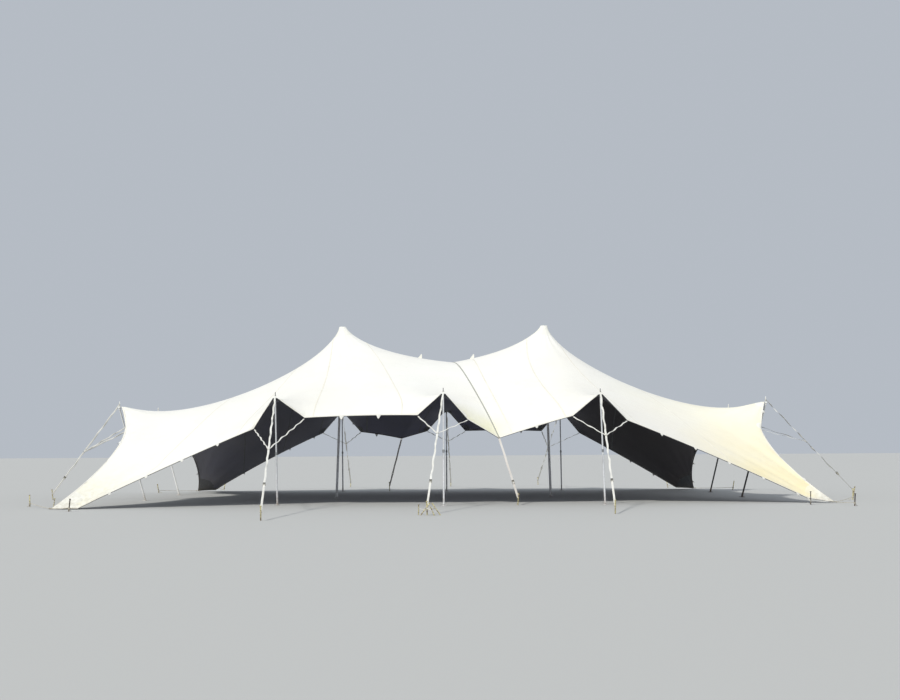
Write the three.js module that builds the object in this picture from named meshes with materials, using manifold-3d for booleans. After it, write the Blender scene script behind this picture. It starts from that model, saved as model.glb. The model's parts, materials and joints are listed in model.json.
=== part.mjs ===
// A stretch tent: one elastic canopy about 21 m long and 12 m wide, hung over two centre poles and
// ten edge poles, with its four corners pulled to the ground. Millimetres, +Z up, X along the tent,
// Y from its front to its back, and the origin on the ground in the middle.
import * as THREE from "three";
import { mergeVertices } from "three/addons/utils/BufferGeometryUtils.js";
import Module from "manifold-3d";

const wasm = await Module();
wasm.setup();

// Clearance kept between pieces that touch, and how near two corners of a join are before they are one
const GAP = 0.3;
const MERGE = 0.05;
const UP = new THREE.Vector3(0, 0, 1);

// Canopy: its thickness, and the net that it is formed on
const SHEET_THICKNESS = 12;
const COLUMNS = 104;
const ROWS = 56;
// Pull of a cord in the net, against 1 for the cloth: along the long hems, along the short ones, and
// under the saddle strap
const HEM_PULL = 80;
const END_HEM_PULL = 1;
const STRAP_PULL = 9;
const PEAK_SPREAD = 12;
const RIDGE_PULL = 0.8;
const RIDGE_ROWS = 8;
const END_CROSS_PULL = 1.2;
const PEAK_POWER = 0.85;
const ROUNDS = 2600;
const OVERSHOOT = 1.94;
// Columns of the net where two widths of cloth are sewn together
const SEAMS = [0, 12, 22, 31, 42, 55, 63, 74, 89, COLUMNS];
// Columns and rows of the net that the solid cloth keeps
const KEPT_COLUMNS = [
  0, 1, 2, 5, 8, 12, 16, 20, 22, 24, 25, 26, 27, 30, 31, 32, 34, 35, 36, 37, 38, 40, 42, 44, 45,
  46, 47, 48, 51, 53, 55, 56, 59, 60, 61, 63, 64, 66, 67, 68, 69, 70, 72, 74, 76, 79, 80, 81, 84,
  89, 93, 97, 100, 102, 103, COLUMNS,
];
const KEPT_ROWS = [
  0, 1, 2, 5, 9, 14, 17, 18, 19, 22, 25, 26, 27, 28, 29, 30, 32, 36, 39, 40, 41, 44, 48, 52, 54,
  55, ROWS,
];

// Centre poles, and the heads that hold the two peaks
const PEAK_HEIGHT = 5480;
const PEAK_RADIUS = 110;
const HEAD_RADIUS = 84;
const CENTRE_POLES = [
  { name: "left_centre_pole", column: 36, top: [-3280, -50], foot: [-3440, -120] },
  { name: "right_centre_pole", column: 68, top: [3250, -50], foot: [3400, 60] },
];
const PEAK_ROW = 28;
const CENTRE_TUBE_RADIUS = 38;

// Edge poles: column or row of the net, place of the head and of the foot, height of the head, and at the
// two ends of the tent how far inside the pin the cloth is tied
const EDGE_POLES = [
  { name: "front_left", side: "front", index: 26, head: [-4560, -5250], foot: [-4600, -4500], height: 2920 },
  { name: "front_middle", side: "front", index: 46, head: [10, -5400], foot: [10, -5450], height: 3000 },
  { name: "front_right", side: "front", index: 68, head: [4290, -5200], foot: [4360, -5200], height: 2970 },
  { name: "rear_left", side: "rear", index: 36, head: [-3800, 4900], foot: [-3740, 4700], height: 2900 },
  { name: "rear_middle", side: "rear", index: 60, head: [50, 4900], foot: [50, 4750], height: 2950 },
  { name: "rear_right", side: "rear", index: 80, head: [4250, 4900], foot: [4240, 4700], height: 2900 },
  {
    name: "left_front", side: "left", index: 18,
    head: [-9800, -2100], foot: [-9150, -1450], height: 2840, inset: 120,
  },
  {
    name: "left_rear", side: "left", index: 40,
    head: [-9950, 2600], foot: [-9150, 2500], height: 2770, inset: 120,
  },
  {
    name: "right_front", side: "right", index: 18,
    head: [9750, -2050], foot: [9150, -1300], height: 2880, inset: 100,
  },
  {
    name: "right_rear", side: "right", index: 40,
    head: [9850, 2550], foot: [9100, 2400], height: 2770, inset: 100,
  },
];
const POLE_RADIUS = 25;
const POLE_HEAD_RADIUS = 45;
const POLE_HEAD_HEIGHT = 40;
const PIN_RADIUS = 10;
const PIN_HEIGHT = 170;
const FOOT_RADIUS = 90;
const FOOT_HEIGHT = 20;
// The flat patch of cloth that lies on a pole head: its half width, and its reach past the pin
const PATCH = 55;
const PATCH_REACH = 30;

// Bridles: the two points where a bridle holds the hem, along the hem from the pole and in height, the
// share of the guy's length where the bridle joins it, and the guy's stake
const BRIDLES = {
  front_left: {
    cells: [-2, 4], along: [-590, 800], height: [2100, 2390], out: -20,
    joint: 0.52, anchor: [-3900, -10850]
  },
  front_middle: {
    cells: [-2, 2], along: [-700, 660], height: [2440, 2310], out: -20,
    joint: 0.4, anchor: [-350, -9250]
  },
  front_right: {
    cells: [-4, 4], along: [-760, 720], height: [2400, 2270], out: -20,
    joint: 0.42, anchor: [4000, -9200]
  },
  rear_left: {
    cells: [-4, 4], along: [-700, 700], height: [2150, 2180], out: -20,
    joint: 0.44, anchor: [-3900, 9300]
  },
  rear_middle: {
    cells: [-4, 4], along: [-700, 700], height: [2200, 2200], out: -20,
    joint: 0.42, anchor: [200, 9250]
  },
  rear_right: {
    cells: [-4, 4], along: [-700, 700], height: [2180, 2100], out: -20,
    joint: 0.5, anchor: [3900, 10850]
  },
  left_front: {
    cells: [-4, 4], along: [-620, 620], height: [2245, 2330], out: -280,
    joint: 0.52, anchor: [-12330, -500]
  },
  left_rear: {
    cells: [-4, 4], along: [-620, 620], height: [2250, 2150], out: -280,
    joint: 0.48, anchor: [-12330, 3300]
  },
  right_front: {
    cells: [-4, 4], along: [-620, 620], height: [2060, 2300], out: -260,
    joint: 0.46, anchor: [12327, -1900]
  },
  right_rear: {
    cells: [-4, 4], along: [-620, 620], height: [2250, 2150], out: -260,
    joint: 0.48, anchor: [12330, 3300]
  },
};

// Corners of the cloth on the ground, the point of the long hem that still lies or hangs low beside
// each tip, and the stakes that the tips are tied to
const TIP_HEIGHT = 30;
const LOW_HEM_CELLS = 5;
const CORNERS = [
  {
    name: "front_left", column: 0, row: 0, tip: [-10250, -6050], lowHem: [-9560, -6080, 30],
    anchors: [[-9450, -7000], [-11400, -4600]],
  },
  {
    name: "front_right", column: COLUMNS, row: 0, tip: [10600, -5050], lowHem: [9930, -4930, 130],
    anchors: [[10550, -6600], [11700, -3500]],
  },
  {
    name: "rear_left", column: 0, row: ROWS, tip: [-9300, 5850], lowHem: [-8640, 5850, 60],
    anchors: [[-8550, 6850], [-10400, 4500]],
  },
  {
    name: "rear_right", column: COLUMNS, row: ROWS, tip: [9250, 5500], lowHem: [8600, 5480, 60],
    anchors: [[8500, 6500], [10350, 4200]],
  },
];

// Saddle strap: it holds the hem down at the front and the back, and crosses the canopy between
const SADDLE_COLUMN = 53;
const SADDLE_LOWS = [
  { name: "front", row: 0, low: [1520, -5050, 1810], anchor: [2000, -5250] },
  { name: "rear", row: ROWS, low: [-1600, 4850, 1930], anchor: [-2050, 5100] },
];

// Straps, cords and stakes
const STRAP_WIDTH = 50;
const STRAP_THICKNESS = 5;
const SADDLE_STRAP_WIDTH = 40;
const SADDLE_CLEARANCE = 6.2;
const CORD_RADIUS = 7;
const KNOT_RADIUS = 13;
const KNOT_LENGTH = 60;
const KNOT_GAP = 17;
const JOINT = [64, 60, 24];
const RING_SIDES = 8;
const SLEEVE_WALL = 10;
const SLEEVE_HEIGHT = 75;
const BUCKLE = [70, 130, 50];
const STAKE_RADIUS = 15;
const STAKE_LENGTH = 330;
const STAKE_LEAN = 0.22;
const STAKE_EYE = 150;

const COLOURS = {
  cloth: { color: 0xf1ece0, roughness: 0.85, metalness: 0 },
  pole: { color: 0xc9ccce, roughness: 0.4, metalness: 0.8 },
  strap: { color: 0xe8e6df, roughness: 0.8, metalness: 0 },
  stake: { color: 0x9a958a, roughness: 0.6, metalness: 0.7 },
};

const nodeAt = (column, row) => column * (ROWS + 1) + row;
const vec = (x, y, z) => new THREE.Vector3(x, y, z);

// Closed solids from three.js geometries, and back again
function solid(geometry) {
  const bare = geometry.clone();
  bare.deleteAttribute("normal");
  bare.deleteAttribute("uv");
  const merged = mergeVertices(bare, 1e-3);
  return new wasm.Manifold(
    new wasm.Mesh({
      numProp: 3,
      vertProperties: new Float32Array(merged.attributes.position.array),
      triVerts: new Uint32Array(merged.index.array),
    }),
  );
}

function geometryOf(body) {
  const mesh = body.getMesh();
  const geometry = new THREE.BufferGeometry();
  geometry.setAttribute("position", new THREE.BufferAttribute(mesh.vertProperties, 3));
  geometry.setIndex(new THREE.BufferAttribute(mesh.triVerts, 1));
  return geometry;
}

const joined = (geometries) => geometries.map(solid).reduce((a, b) => a.add(b)).simplify(MERGE);

function placed(geometry, origin, axis) {
  const turn = new THREE.Quaternion().setFromUnitVectors(UP, axis);
  return geometry.applyQuaternion(turn).translate(origin.x, origin.y, origin.z);
}

// A cylinder, a ring or a flat bar between two points
function rod(from, to, radius, sides) {
  const axis = to.clone().sub(from);
  const geometry = new THREE.CylinderGeometry(radius, radius, axis.length(), sides);
  geometry.rotateX(Math.PI / 2).translate(0, 0, axis.length() / 2);
  return placed(geometry, from, axis.normalize());
}

// Radius of a ring whose flats clear the flats of a piece inside it that has as many sides
const aroundRadius = (radius) => radius + GAP / Math.cos(Math.PI / RING_SIDES);

function sleeve(origin, axis, inner, wall, height) {
  const hole = aroundRadius(inner);
  const profile = [
    [hole, 0],
    [hole + wall, 0],
    [hole + wall, height],
    [hole, height],
    [hole, 0],
  ].map(([r, z]) => new THREE.Vector2(r, z));
  const geometry = new THREE.LatheGeometry(profile, RING_SIDES).rotateX(Math.PI / 2);
  return placed(geometry, origin, axis);
}

function flatBar(from, to, width, thickness) {
  const along = to.clone().sub(from);
  const length = along.length();
  along.normalize();
  const across = new THREE.Vector3().crossVectors(along, UP).normalize();
  const face = new THREE.Vector3().crossVectors(across, along);
  const geometry = new THREE.BoxGeometry(width, length, thickness);
  geometry.applyMatrix4(new THREE.Matrix4().makeBasis(across, along, face));
  const middle = from.clone().add(to).multiplyScalar(0.5);
  return geometry.translate(middle.x, middle.y, middle.z);
}

// How far to go along a way before being a distance off a line that starts at the same point
function runClear(way, line, distance) {
  return distance / way.clone().addScaledVector(line, -way.dot(line)).length();
}

// Where each pole's pin comes through the cloth, and which way is out of the tent
const SIDES = {
  front: { along: vec(1, 0, 0), out: vec(0, -1, 0), node: (a, b) => nodeAt(a, b) },
  rear: { along: vec(1, 0, 0), out: vec(0, 1, 0), node: (a, b) => nodeAt(a, ROWS - b) },
  left: { along: vec(0, 1, 0), out: vec(-1, 0, 0), node: (a, b) => nodeAt(b, a) },
  right: { along: vec(0, 1, 0), out: vec(1, 0, 0), node: (a, b) => nodeAt(COLUMNS - b, a) },
};

// The places in the net that are held: tips, peaks, pole heads, bridle points and strap lows
function heldNodes() {
  const held = new Map();
  for (const { column, row, tip, lowHem } of CORNERS) {
    held.set(nodeAt(column, row), vec(...tip, TIP_HEIGHT));
    held.set(nodeAt(Math.abs(column - LOW_HEM_CELLS), row), vec(...lowHem));
  }
  for (const { row, low } of SADDLE_LOWS) held.set(nodeAt(SADDLE_COLUMN, row), vec(...low));
  for (const { column, top } of CENTRE_POLES)
    for (const a of [-1, 0, 1])
      for (const b of [-1, 0, 1]) {
        const reach = a && b ? PEAK_RADIUS / Math.SQRT2 : PEAK_RADIUS;
        held.set(
          nodeAt(column + a, PEAK_ROW + b),
          vec(top[0] + a * reach, top[1] + b * reach, PEAK_HEIGHT),
        );
      }
  for (const { name, side, index, head, height, inset = 0 } of EDGE_POLES) {
    const { along, out, node } = SIDES[side];
    const centre = vec(...head, height).addScaledVector(out, -inset);
    for (const a of [-1, 0, 1])
      for (const b of [0, 1, 2]) {
        const place = centre.clone().addScaledVector(along, a * PATCH);
        const beyond = b === 0 ? PATCH_REACH : (1 - b) * PATCH;
        held.set(node(index + a, b), place.addScaledVector(out, beyond));
      }
    const bridle = BRIDLES[name];
    bridle.cells.forEach((cell, k) => {
      const place = centre.clone().addScaledVector(along, bridle.along[k]);
      place.addScaledVector(out, bridle.out).setZ(bridle.height[k]);
      held.set(node(index + cell, 0), place);
    });
  }
  return held;
}

// The cloth pulls harder the nearer it is to a peak, where it is stretched most
function clothPull(i, j) {
  const steps = CENTRE_POLES.map(({ column }) => Math.hypot(i - column, j - PEAK_ROW));
  return (Math.max(Math.min(...steps), 1) / PEAK_SPREAD) ** -PEAK_POWER;
}

// Outside the peaks it is stretched more along the ridge
function ridgePull(i, j) {
  const [left, right] = CENTRE_POLES.map(({ column }) => column);
  if (i > left && i < right) return 1;
  return 1 + RIDGE_PULL * Math.exp(-(((j - PEAK_ROW) / RIDGE_ROWS) ** 2));
}

// The canopy at rest: every free node lies at the mean of its neighbours, weighted by their pull
function formedCanopy() {
  const held = heldNodes();
  const points = [];
  const corner = Object.fromEntries(CORNERS.map((c) => [c.name, vec(...c.tip, TIP_HEIGHT)]));
  for (let i = 0; i <= COLUMNS; i++)
    for (let j = 0; j <= ROWS; j++) {
      const front = corner.front_left.clone().lerp(corner.front_right, i / COLUMNS);
      const rear = corner.rear_left.clone().lerp(corner.rear_right, i / COLUMNS);
      const start = front.lerp(rear, j / ROWS).setZ(3000);
      points.push(held.get(nodeAt(i, j)) ?? start);
    }
  const links = [];
  for (let i = 0; i <= COLUMNS; i++)
    for (let j = 0; j <= ROWS; j++) {
      if (held.has(nodeAt(i, j))) continue;
      const hemX = j === 0 || j === ROWS ? HEM_PULL : 0;
      const hemY = i === 0 || i === COLUMNS ? END_HEM_PULL : i === SADDLE_COLUMN ? STRAP_PULL : 0;
      const near = [];
      if (i > 0) near.push([nodeAt(i - 1, j), hemX + ridgePull(i - 0.5, j) * clothPull(i - 0.5, j)]);
      if (i < COLUMNS)
        near.push([nodeAt(i + 1, j), hemX + ridgePull(i + 0.5, j) * clothPull(i + 0.5, j)]);
      const endwards = 1 + END_CROSS_PULL * ((2 * i) / COLUMNS - 1) ** 4;
      if (j > 0) near.push([nodeAt(i, j - 1), hemY + endwards * clothPull(i, j - 0.5)]);
      if (j < ROWS) near.push([nodeAt(i, j + 1), hemY + endwards * clothPull(i, j + 0.5)]);
      links.push([nodeAt(i, j), near, near.reduce((sum, [, pull]) => sum + pull, 0)]);
    }
  const mean = new THREE.Vector3();
  for (let round = 0; round < ROUNDS; round++)
    for (const [node, near, total] of links) {
      mean.set(0, 0, 0);
      for (const [other, pull] of near) mean.addScaledVector(points[other], pull / total);
      points[node].lerp(mean, OVERSHOOT);
    }
  return points;
}

const canopy = formedCanopy();

function canopyNormal(i, j) {
  const alongX = canopy[nodeAt(Math.min(i + 1, COLUMNS), j)].clone();
  alongX.sub(canopy[nodeAt(Math.max(i - 1, 0), j)]);
  const alongY = canopy[nodeAt(i, Math.min(j + 1, ROWS))].clone();
  alongY.sub(canopy[nodeAt(i, Math.max(j - 1, 0))]);
  return alongX.cross(alongY).normalize();
}

const outerFace = (i, j) => canopy[nodeAt(i, j)].clone();
const innerFace = (i, j) => outerFace(i, j).addScaledVector(canopyNormal(i, j), -SHEET_THICKNESS);

// One width of the cloth between two seams, open where a pole's pin comes through
function clothPanel(first, last) {
  const columns = KEPT_COLUMNS.filter((i) => i >= first && i <= last);
  const width = columns.length;
  const depth = KEPT_ROWS.length;
  const positions = [];
  for (const face of [outerFace, innerFace])
    columns.forEach((i, a) => {
      for (const j of KEPT_ROWS) {
        const place = face(i, j);
        const sewn = (a === 0 && i > 0) || (a === width - 1 && i < COLUMNS);
        if (sewn) {
          const inward = face(columns[a === 0 ? 1 : width - 2], j).sub(place).normalize();
          place.addScaledVector(inward, GAP / 2);
        }
        positions.push(...place);
      }
    });
  const outer = (a, b) => a * depth + b;
  const inner = (a, b) => width * depth + outer(a, b);
  const index = [];
  const quad = (p, q, r, s) => index.push(p, q, r, p, r, s);
  for (let a = 0; a + 1 < width; a++)
    for (let b = 0; b + 1 < depth; b++) {
      quad(outer(a, b), outer(a + 1, b), outer(a + 1, b + 1), outer(a, b + 1));
      quad(inner(a, b), inner(a, b + 1), inner(a + 1, b + 1), inner(a + 1, b));
    }
  for (let a = 0; a + 1 < width; a++) {
    quad(inner(a, 0), inner(a + 1, 0), outer(a + 1, 0), outer(a, 0));
    quad(outer(a, depth - 1), outer(a + 1, depth - 1), inner(a + 1, depth - 1), inner(a, depth - 1));
  }
  for (let b = 0; b + 1 < depth; b++) {
    quad(outer(0, b), outer(0, b + 1), inner(0, b + 1), inner(0, b));
    quad(outer(width - 1, b), inner(width - 1, b), inner(width - 1, b + 1), outer(width - 1, b + 1));
  }
  const geometry = new THREE.BufferGeometry();
  geometry.setAttribute("position", new THREE.Float32BufferAttribute(positions, 3));
  geometry.setIndex(index);
  let cloth = solid(geometry);
  for (const { index: column, head, height, inset } of EDGE_POLES) {
    if (inset || column < first || column > last) continue;
    const below = vec(...head, height - 3 * SHEET_THICKNESS);
    const above = vec(...head, height + 3 * SHEET_THICKNESS);
    cloth = cloth.subtract(solid(rod(below, above, aroundRadius(PIN_RADIUS), RING_SIDES)));
  }
  return cloth;
}

// A pole: foot plate, tube, flat head under the cloth and, at the edge, a pin through it
function pole(foot, head, radius, headRadius, pinHeight) {
  const under = head.clone().setZ(head.z - SHEET_THICKNESS - GAP);
  const seat = under.clone().setZ(under.z - POLE_HEAD_HEIGHT);
  const parts = [
    rod(foot, foot.clone().setZ(FOOT_HEIGHT), FOOT_RADIUS, 14),
    rod(foot.clone().setZ(FOOT_HEIGHT / 2), seat.clone().setZ(seat.z + POLE_HEAD_HEIGHT / 2), radius, 12),
    rod(seat, under, headRadius, 14),
  ];
  if (pinHeight) parts.push(rod(seat, head.clone().setZ(head.z + pinHeight), PIN_RADIUS, RING_SIDES));
  return joined(parts);
}

// A stake, leaning away from the pull, and the point on it that a loop goes round
function stake(anchor, pull) {
  const lean = vec(-pull.x, -pull.y, 0).normalize().multiplyScalar(STAKE_LEAN).add(UP).normalize();
  const base = vec(...anchor, 0);
  const below = base.clone().addScaledVector(lean, -2 * STAKE_RADIUS);
  const top = base.clone().addScaledVector(lean, STAKE_LENGTH);
  const neck = base.clone().addScaledVector(lean, STAKE_LENGTH - 1.4 * STAKE_RADIUS);
  const middle = neck.clone().lerp(top, 0.5);
  const head = rod(neck, top, 1.7 * STAKE_RADIUS, RING_SIDES);
  const shaft = joined([rod(below, middle, STAKE_RADIUS, RING_SIDES), head]);
  const ground = new THREE.BoxGeometry(400, 400, 200).translate(base.x, base.y, -100);
  const eye = base.clone().addScaledVector(lean, STAKE_EYE);
  return { body: shaft.subtract(solid(ground)).simplify(MERGE), eye, lean };
}

function stakeLoop({ eye, lean }) {
  return sleeve(eye, lean, STAKE_RADIUS, SLEEVE_WALL, SLEEVE_HEIGHT);
}

// Cords that hold the hem at one node of the net: a short knot straight out of the cloth's edge, just
// clear of it and level at the corners, and the cords from it to where they go
function hemCords(i, j, ends) {
  const here = outerFace(i, j).lerp(innerFace(i, j), 0.5);
  const out = vec(0, 0, 0);
  const a = KEPT_COLUMNS.indexOf(i);
  const b = KEPT_ROWS.indexOf(j);
  const beside = [
    [KEPT_COLUMNS[a - 1], j],
    [KEPT_COLUMNS[a + 1], j],
    [i, KEPT_ROWS[b - 1]],
    [i, KEPT_ROWS[b + 1]],
  ];
  for (const [column, row] of beside)
    if (column !== undefined && row !== undefined)
      out.sub(outerFace(column, row).sub(outerFace(i, j)).normalize());
  const corner = i % COLUMNS === 0 && j % ROWS === 0;
  if (corner) out.setZ(0);
  out.normalize();
  const reach = Math.abs(outerFace(i, j).sub(here).dot(out));
  const start = here.clone().addScaledVector(out, reach + (corner ? GAP : KNOT_GAP));
  const knot = start.clone().addScaledVector(out, KNOT_LENGTH);
  const from = knot.clone().addScaledVector(out, -KNOT_RADIUS);
  return [rod(start, knot, KNOT_RADIUS, 8), ...ends.map((end) => rod(from, end, CORD_RADIUS, 6))];
}

function netPlace(side, index) {
  if (side === "front") return [index, 0];
  if (side === "rear") return [index, ROWS];
  return [side === "left" ? 0 : COLUMNS, index];
}

const tent = new THREE.Group();

function addPiece(name, body, colour) {
  const mesh = new THREE.Mesh(geometryOf(body), new THREE.MeshStandardMaterial(colour));
  mesh.name = name;
  tent.add(mesh);
}

for (let k = 0; k + 1 < SEAMS.length; k++)
  addPiece(`canopy_panel_${k + 1}`, clothPanel(SEAMS[k], SEAMS[k + 1]), COLOURS.cloth);

for (const { name, top, foot } of CENTRE_POLES) {
  const body = pole(vec(...foot, 0), vec(...top, PEAK_HEIGHT), CENTRE_TUBE_RADIUS, HEAD_RADIUS, 0);
  addPiece(name, body, COLOURS.pole);
}

for (const { name, side, index, head, foot, height, inset } of EDGE_POLES) {
  const top = vec(...head, height);
  addPiece(`${name}_pole`, pole(vec(...foot, 0), top, POLE_RADIUS, POLE_HEAD_RADIUS, PIN_HEIGHT), COLOURS.pole);

  const { cells, joint: share, anchor } = BRIDLES[name];
  const pull = top.clone().sub(vec(...anchor, 0));
  const peg = stake(anchor, pull);
  addPiece(`${name}_stake`, peg.body, COLOURS.stake);

  // The guy: a sleeve on the pin, the strap, its buckle, the loop at the stake and the two bridle legs,
  // and at the ends of the tent the short strap that ties the cloth to the pin
  const collar = top.clone().setZ(top.z + GAP);
  const start = top.clone().setZ(top.z + SLEEVE_HEIGHT - STRAP_THICKNESS);
  const end = peg.eye.clone().addScaledVector(peg.lean, SLEEVE_HEIGHT / 2);
  const way = end.clone().sub(start).normalize();
  start.addScaledVector(way, runClear(way, UP, PIN_RADIUS + STRAP_THICKNESS));
  end.addScaledVector(way, -runClear(way, peg.lean, STAKE_RADIUS + STRAP_THICKNESS));
  const joint = start.clone().lerp(end, share);
  const buckle = start.clone().lerp(end, 0.8);
  const parts = [
    sleeve(collar, UP, PIN_RADIUS, SLEEVE_WALL, SLEEVE_HEIGHT),
    flatBar(start, end, STRAP_WIDTH, STRAP_THICKNESS),
    flatBar(buckle, buckle.clone().addScaledVector(way, BUCKLE[1]), BUCKLE[0], BUCKLE[2]),
    stakeLoop(peg),
  ];
  const plate = [-JOINT[1] / 2, JOINT[1] / 2].map((run) => joint.clone().addScaledVector(way, run));
  parts.push(flatBar(...plate, JOINT[0], JOINT[2]));
  for (const cell of cells) parts.push(...hemCords(...netPlace(side, index + cell), [joint]));
  if (inset) {
    const { out } = SIDES[side];
    const hem = top.clone().setZ(height - SHEET_THICKNESS / 2);
    hem.addScaledVector(out, PATCH_REACH - inset + GAP + STRAP_THICKNESS / 3);
    const ring = collar.clone().setZ(collar.z + SLEEVE_HEIGHT / 2);
    ring.addScaledVector(out, -PIN_RADIUS - SLEEVE_WALL / 2);
    parts.push(flatBar(hem, ring, STRAP_WIDTH, STRAP_THICKNESS));
  }
  addPiece(`${name}_guy`, joined(parts), COLOURS.strap);
}

for (const { name, column, row, tip, anchors } of CORNERS) {
  const loops = [];
  const ends = anchors.map((anchor, k) => {
    const peg = stake(anchor, vec(tip[0] - anchor[0], tip[1] - anchor[1], 0));
    addPiece(`${name}_corner_stake_${k + 1}`, peg.body, COLOURS.stake);
    const eye = vec(...anchor, 0).addScaledVector(peg.lean, STAKE_EYE / 2);
    const end = eye.clone().addScaledVector(peg.lean, SLEEVE_HEIGHT / 2);
    const way = end.clone().sub(vec(...tip, TIP_HEIGHT)).normalize();
    end.addScaledVector(way, -runClear(way, peg.lean, STAKE_RADIUS + CORD_RADIUS));
    loops.push(stakeLoop({ eye, lean: peg.lean }));
    return end;
  });
  addPiece(`${name}_corner_tie`, joined([...hemCords(column, row, ends), ...loops]), COLOURS.strap);
}

// The saddle strap lies on the canopy along one column of the net, just clear of the cloth
function saddleRings() {
  const columnAt = KEPT_COLUMNS.indexOf(SADDLE_COLUMN);
  const half = SADDLE_STRAP_WIDTH / 2;
  return KEPT_ROWS.map((j) => {
    const normal = canopyNormal(SADDLE_COLUMN, j);
    const here = outerFace(SADDLE_COLUMN, j);
    const sides = [-1, 1].map((step) => outerFace(KEPT_COLUMNS[columnAt + step], j).sub(here));
    const rise = sides.map((side) => (half * side.dot(normal)) / side.length());
    const across = sides[1].clone().addScaledVector(normal, -sides[1].dot(normal)).normalize();
    const lift = Math.max(0, ...rise) + SADDLE_CLEARANCE;
    const corner = (w, t) =>
      here.clone().addScaledVector(across, w).addScaledVector(normal, lift + t);
    return [corner(-half, 0), corner(half, 0), corner(half, STRAP_THICKNESS), corner(-half, STRAP_THICKNESS)];
  });
}

function ribbon(rings) {
  const index = [];
  for (let k = 0; k + 1 < rings.length; k++)
    for (let e = 0; e < 4; e++) {
      const f = (e + 1) % 4;
      index.push(4 * k + e, 4 * k + 4 + f, 4 * k + f, 4 * k + e, 4 * k + 4 + e, 4 * k + 4 + f);
    }
  const last = 4 * (rings.length - 1);
  index.push(0, 1, 2, 0, 2, 3, last, last + 2, last + 1, last, last + 3, last + 2);
  const geometry = new THREE.BufferGeometry();
  geometry.setAttribute("position", new THREE.Float32BufferAttribute(rings.flat().flatMap((p) => [...p]), 3));
  geometry.setIndex(index);
  return geometry;
}

const saddleLine = saddleRings();
const saddleParts = [ribbon(saddleLine)];
for (const { name, row, low, anchor } of SADDLE_LOWS) {
  const pull = vec(...low).sub(vec(...anchor, 0));
  const outward = vec(0, row === 0 ? -1 : 1, 0);
  const peg = stake(anchor, pull.clone().addScaledVector(outward, -1000));
  addPiece(`${name}_saddle_stake`, peg.body, COLOURS.stake);
  const ring = saddleLine[row === 0 ? 0 : saddleLine.length - 1];
  const lip = ring[0].clone().lerp(ring[2], 0.5).addScaledVector(outward, -STRAP_THICKNESS);
  const bend = lip.clone().addScaledVector(outward, 3 * STRAP_THICKNESS);
  const end = peg.eye.clone().addScaledVector(peg.lean, SLEEVE_HEIGHT / 2);
  const way = end.clone().sub(bend).normalize();
  end.addScaledVector(way, -runClear(way, peg.lean, STAKE_RADIUS + STRAP_THICKNESS));
  const buckle = bend.clone().lerp(end, 0.7);
  saddleParts.push(
    flatBar(lip, bend.clone().addScaledVector(outward, STRAP_THICKNESS), SADDLE_STRAP_WIDTH, STRAP_THICKNESS),
    flatBar(bend, end, SADDLE_STRAP_WIDTH, STRAP_THICKNESS),
    flatBar(buckle, buckle.clone().addScaledVector(way, BUCKLE[1]), BUCKLE[0], BUCKLE[2]),
    stakeLoop(peg),
  );
}
addPiece("saddle_strap", joined(saddleParts), COLOURS.strap);

export default tent;
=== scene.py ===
import json
import math

import bpy
import numpy as np
from mathutils import Matrix, Vector

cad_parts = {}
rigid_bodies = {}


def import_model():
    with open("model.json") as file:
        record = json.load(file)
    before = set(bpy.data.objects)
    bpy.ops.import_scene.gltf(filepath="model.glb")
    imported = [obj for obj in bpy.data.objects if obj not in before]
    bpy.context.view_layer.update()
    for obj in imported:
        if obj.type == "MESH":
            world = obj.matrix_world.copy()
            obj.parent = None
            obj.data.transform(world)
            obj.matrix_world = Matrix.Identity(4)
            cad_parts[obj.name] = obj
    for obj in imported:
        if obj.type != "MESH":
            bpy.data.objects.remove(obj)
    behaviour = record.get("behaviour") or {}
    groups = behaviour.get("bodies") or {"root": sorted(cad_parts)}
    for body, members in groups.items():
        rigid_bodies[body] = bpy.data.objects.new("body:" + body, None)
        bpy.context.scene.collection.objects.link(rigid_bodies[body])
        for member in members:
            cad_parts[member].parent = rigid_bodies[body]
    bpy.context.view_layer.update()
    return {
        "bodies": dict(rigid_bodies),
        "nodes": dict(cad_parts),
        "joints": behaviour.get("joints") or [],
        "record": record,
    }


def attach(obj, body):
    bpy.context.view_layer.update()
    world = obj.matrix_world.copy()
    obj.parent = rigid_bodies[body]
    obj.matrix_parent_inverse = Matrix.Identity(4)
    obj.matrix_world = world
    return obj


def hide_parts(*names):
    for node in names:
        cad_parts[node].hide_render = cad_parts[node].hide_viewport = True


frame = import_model()

# The view. The tent is seen from its front, from 28 m off at the height of a standing person's eye,
# with the camera tilted up a little and not quite level.
PHOTO_WIDTH, FOCAL_PIXELS, EYE_LINE_PIXELS = 900, 1035.2, 100
SENSOR_WIDTH, CAMERA_PLACE, CAMERA_ROLL = 36, (0.2, -33.4, 1.49), -0.006
scene = bpy.context.scene
camera_data = bpy.data.cameras.new("camera")
camera_data.sensor_width = SENSOR_WIDTH
camera_data.lens = SENSOR_WIDTH * FOCAL_PIXELS / PHOTO_WIDTH
camera_data.clip_end = 400
camera = bpy.data.objects.new("camera", camera_data)
tilted = Matrix.Rotation(math.radians(90) + math.atan(EYE_LINE_PIXELS / FOCAL_PIXELS), 4, "X")
camera.matrix_world = Matrix.Translation(CAMERA_PLACE) @ tilted @ Matrix.Rotation(CAMERA_ROLL, 4, "Z")
scene.collection.objects.link(camera)
scene.camera = camera

# The studio. A pale floor out to a pale sky, a broad sun lamp from the front left, and a soft lamp
# from the right.
FLOOR_CORNERS = [(-180, -120, 0), (180, -120, 0), (180, 240, 0), (-180, 240, 0)]
# Name, direction, strength, spread in degrees and colour
LAMPS = [
    ("sun_lamp", (0.42, 0.62, -0.78), 2.45, 5, (1.0, 0.985, 0.92)),
    ("side_lamp", (-0.7, 0.5, -0.4), 0.35, 60, (0.93, 0.96, 1.0)),
]


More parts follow.
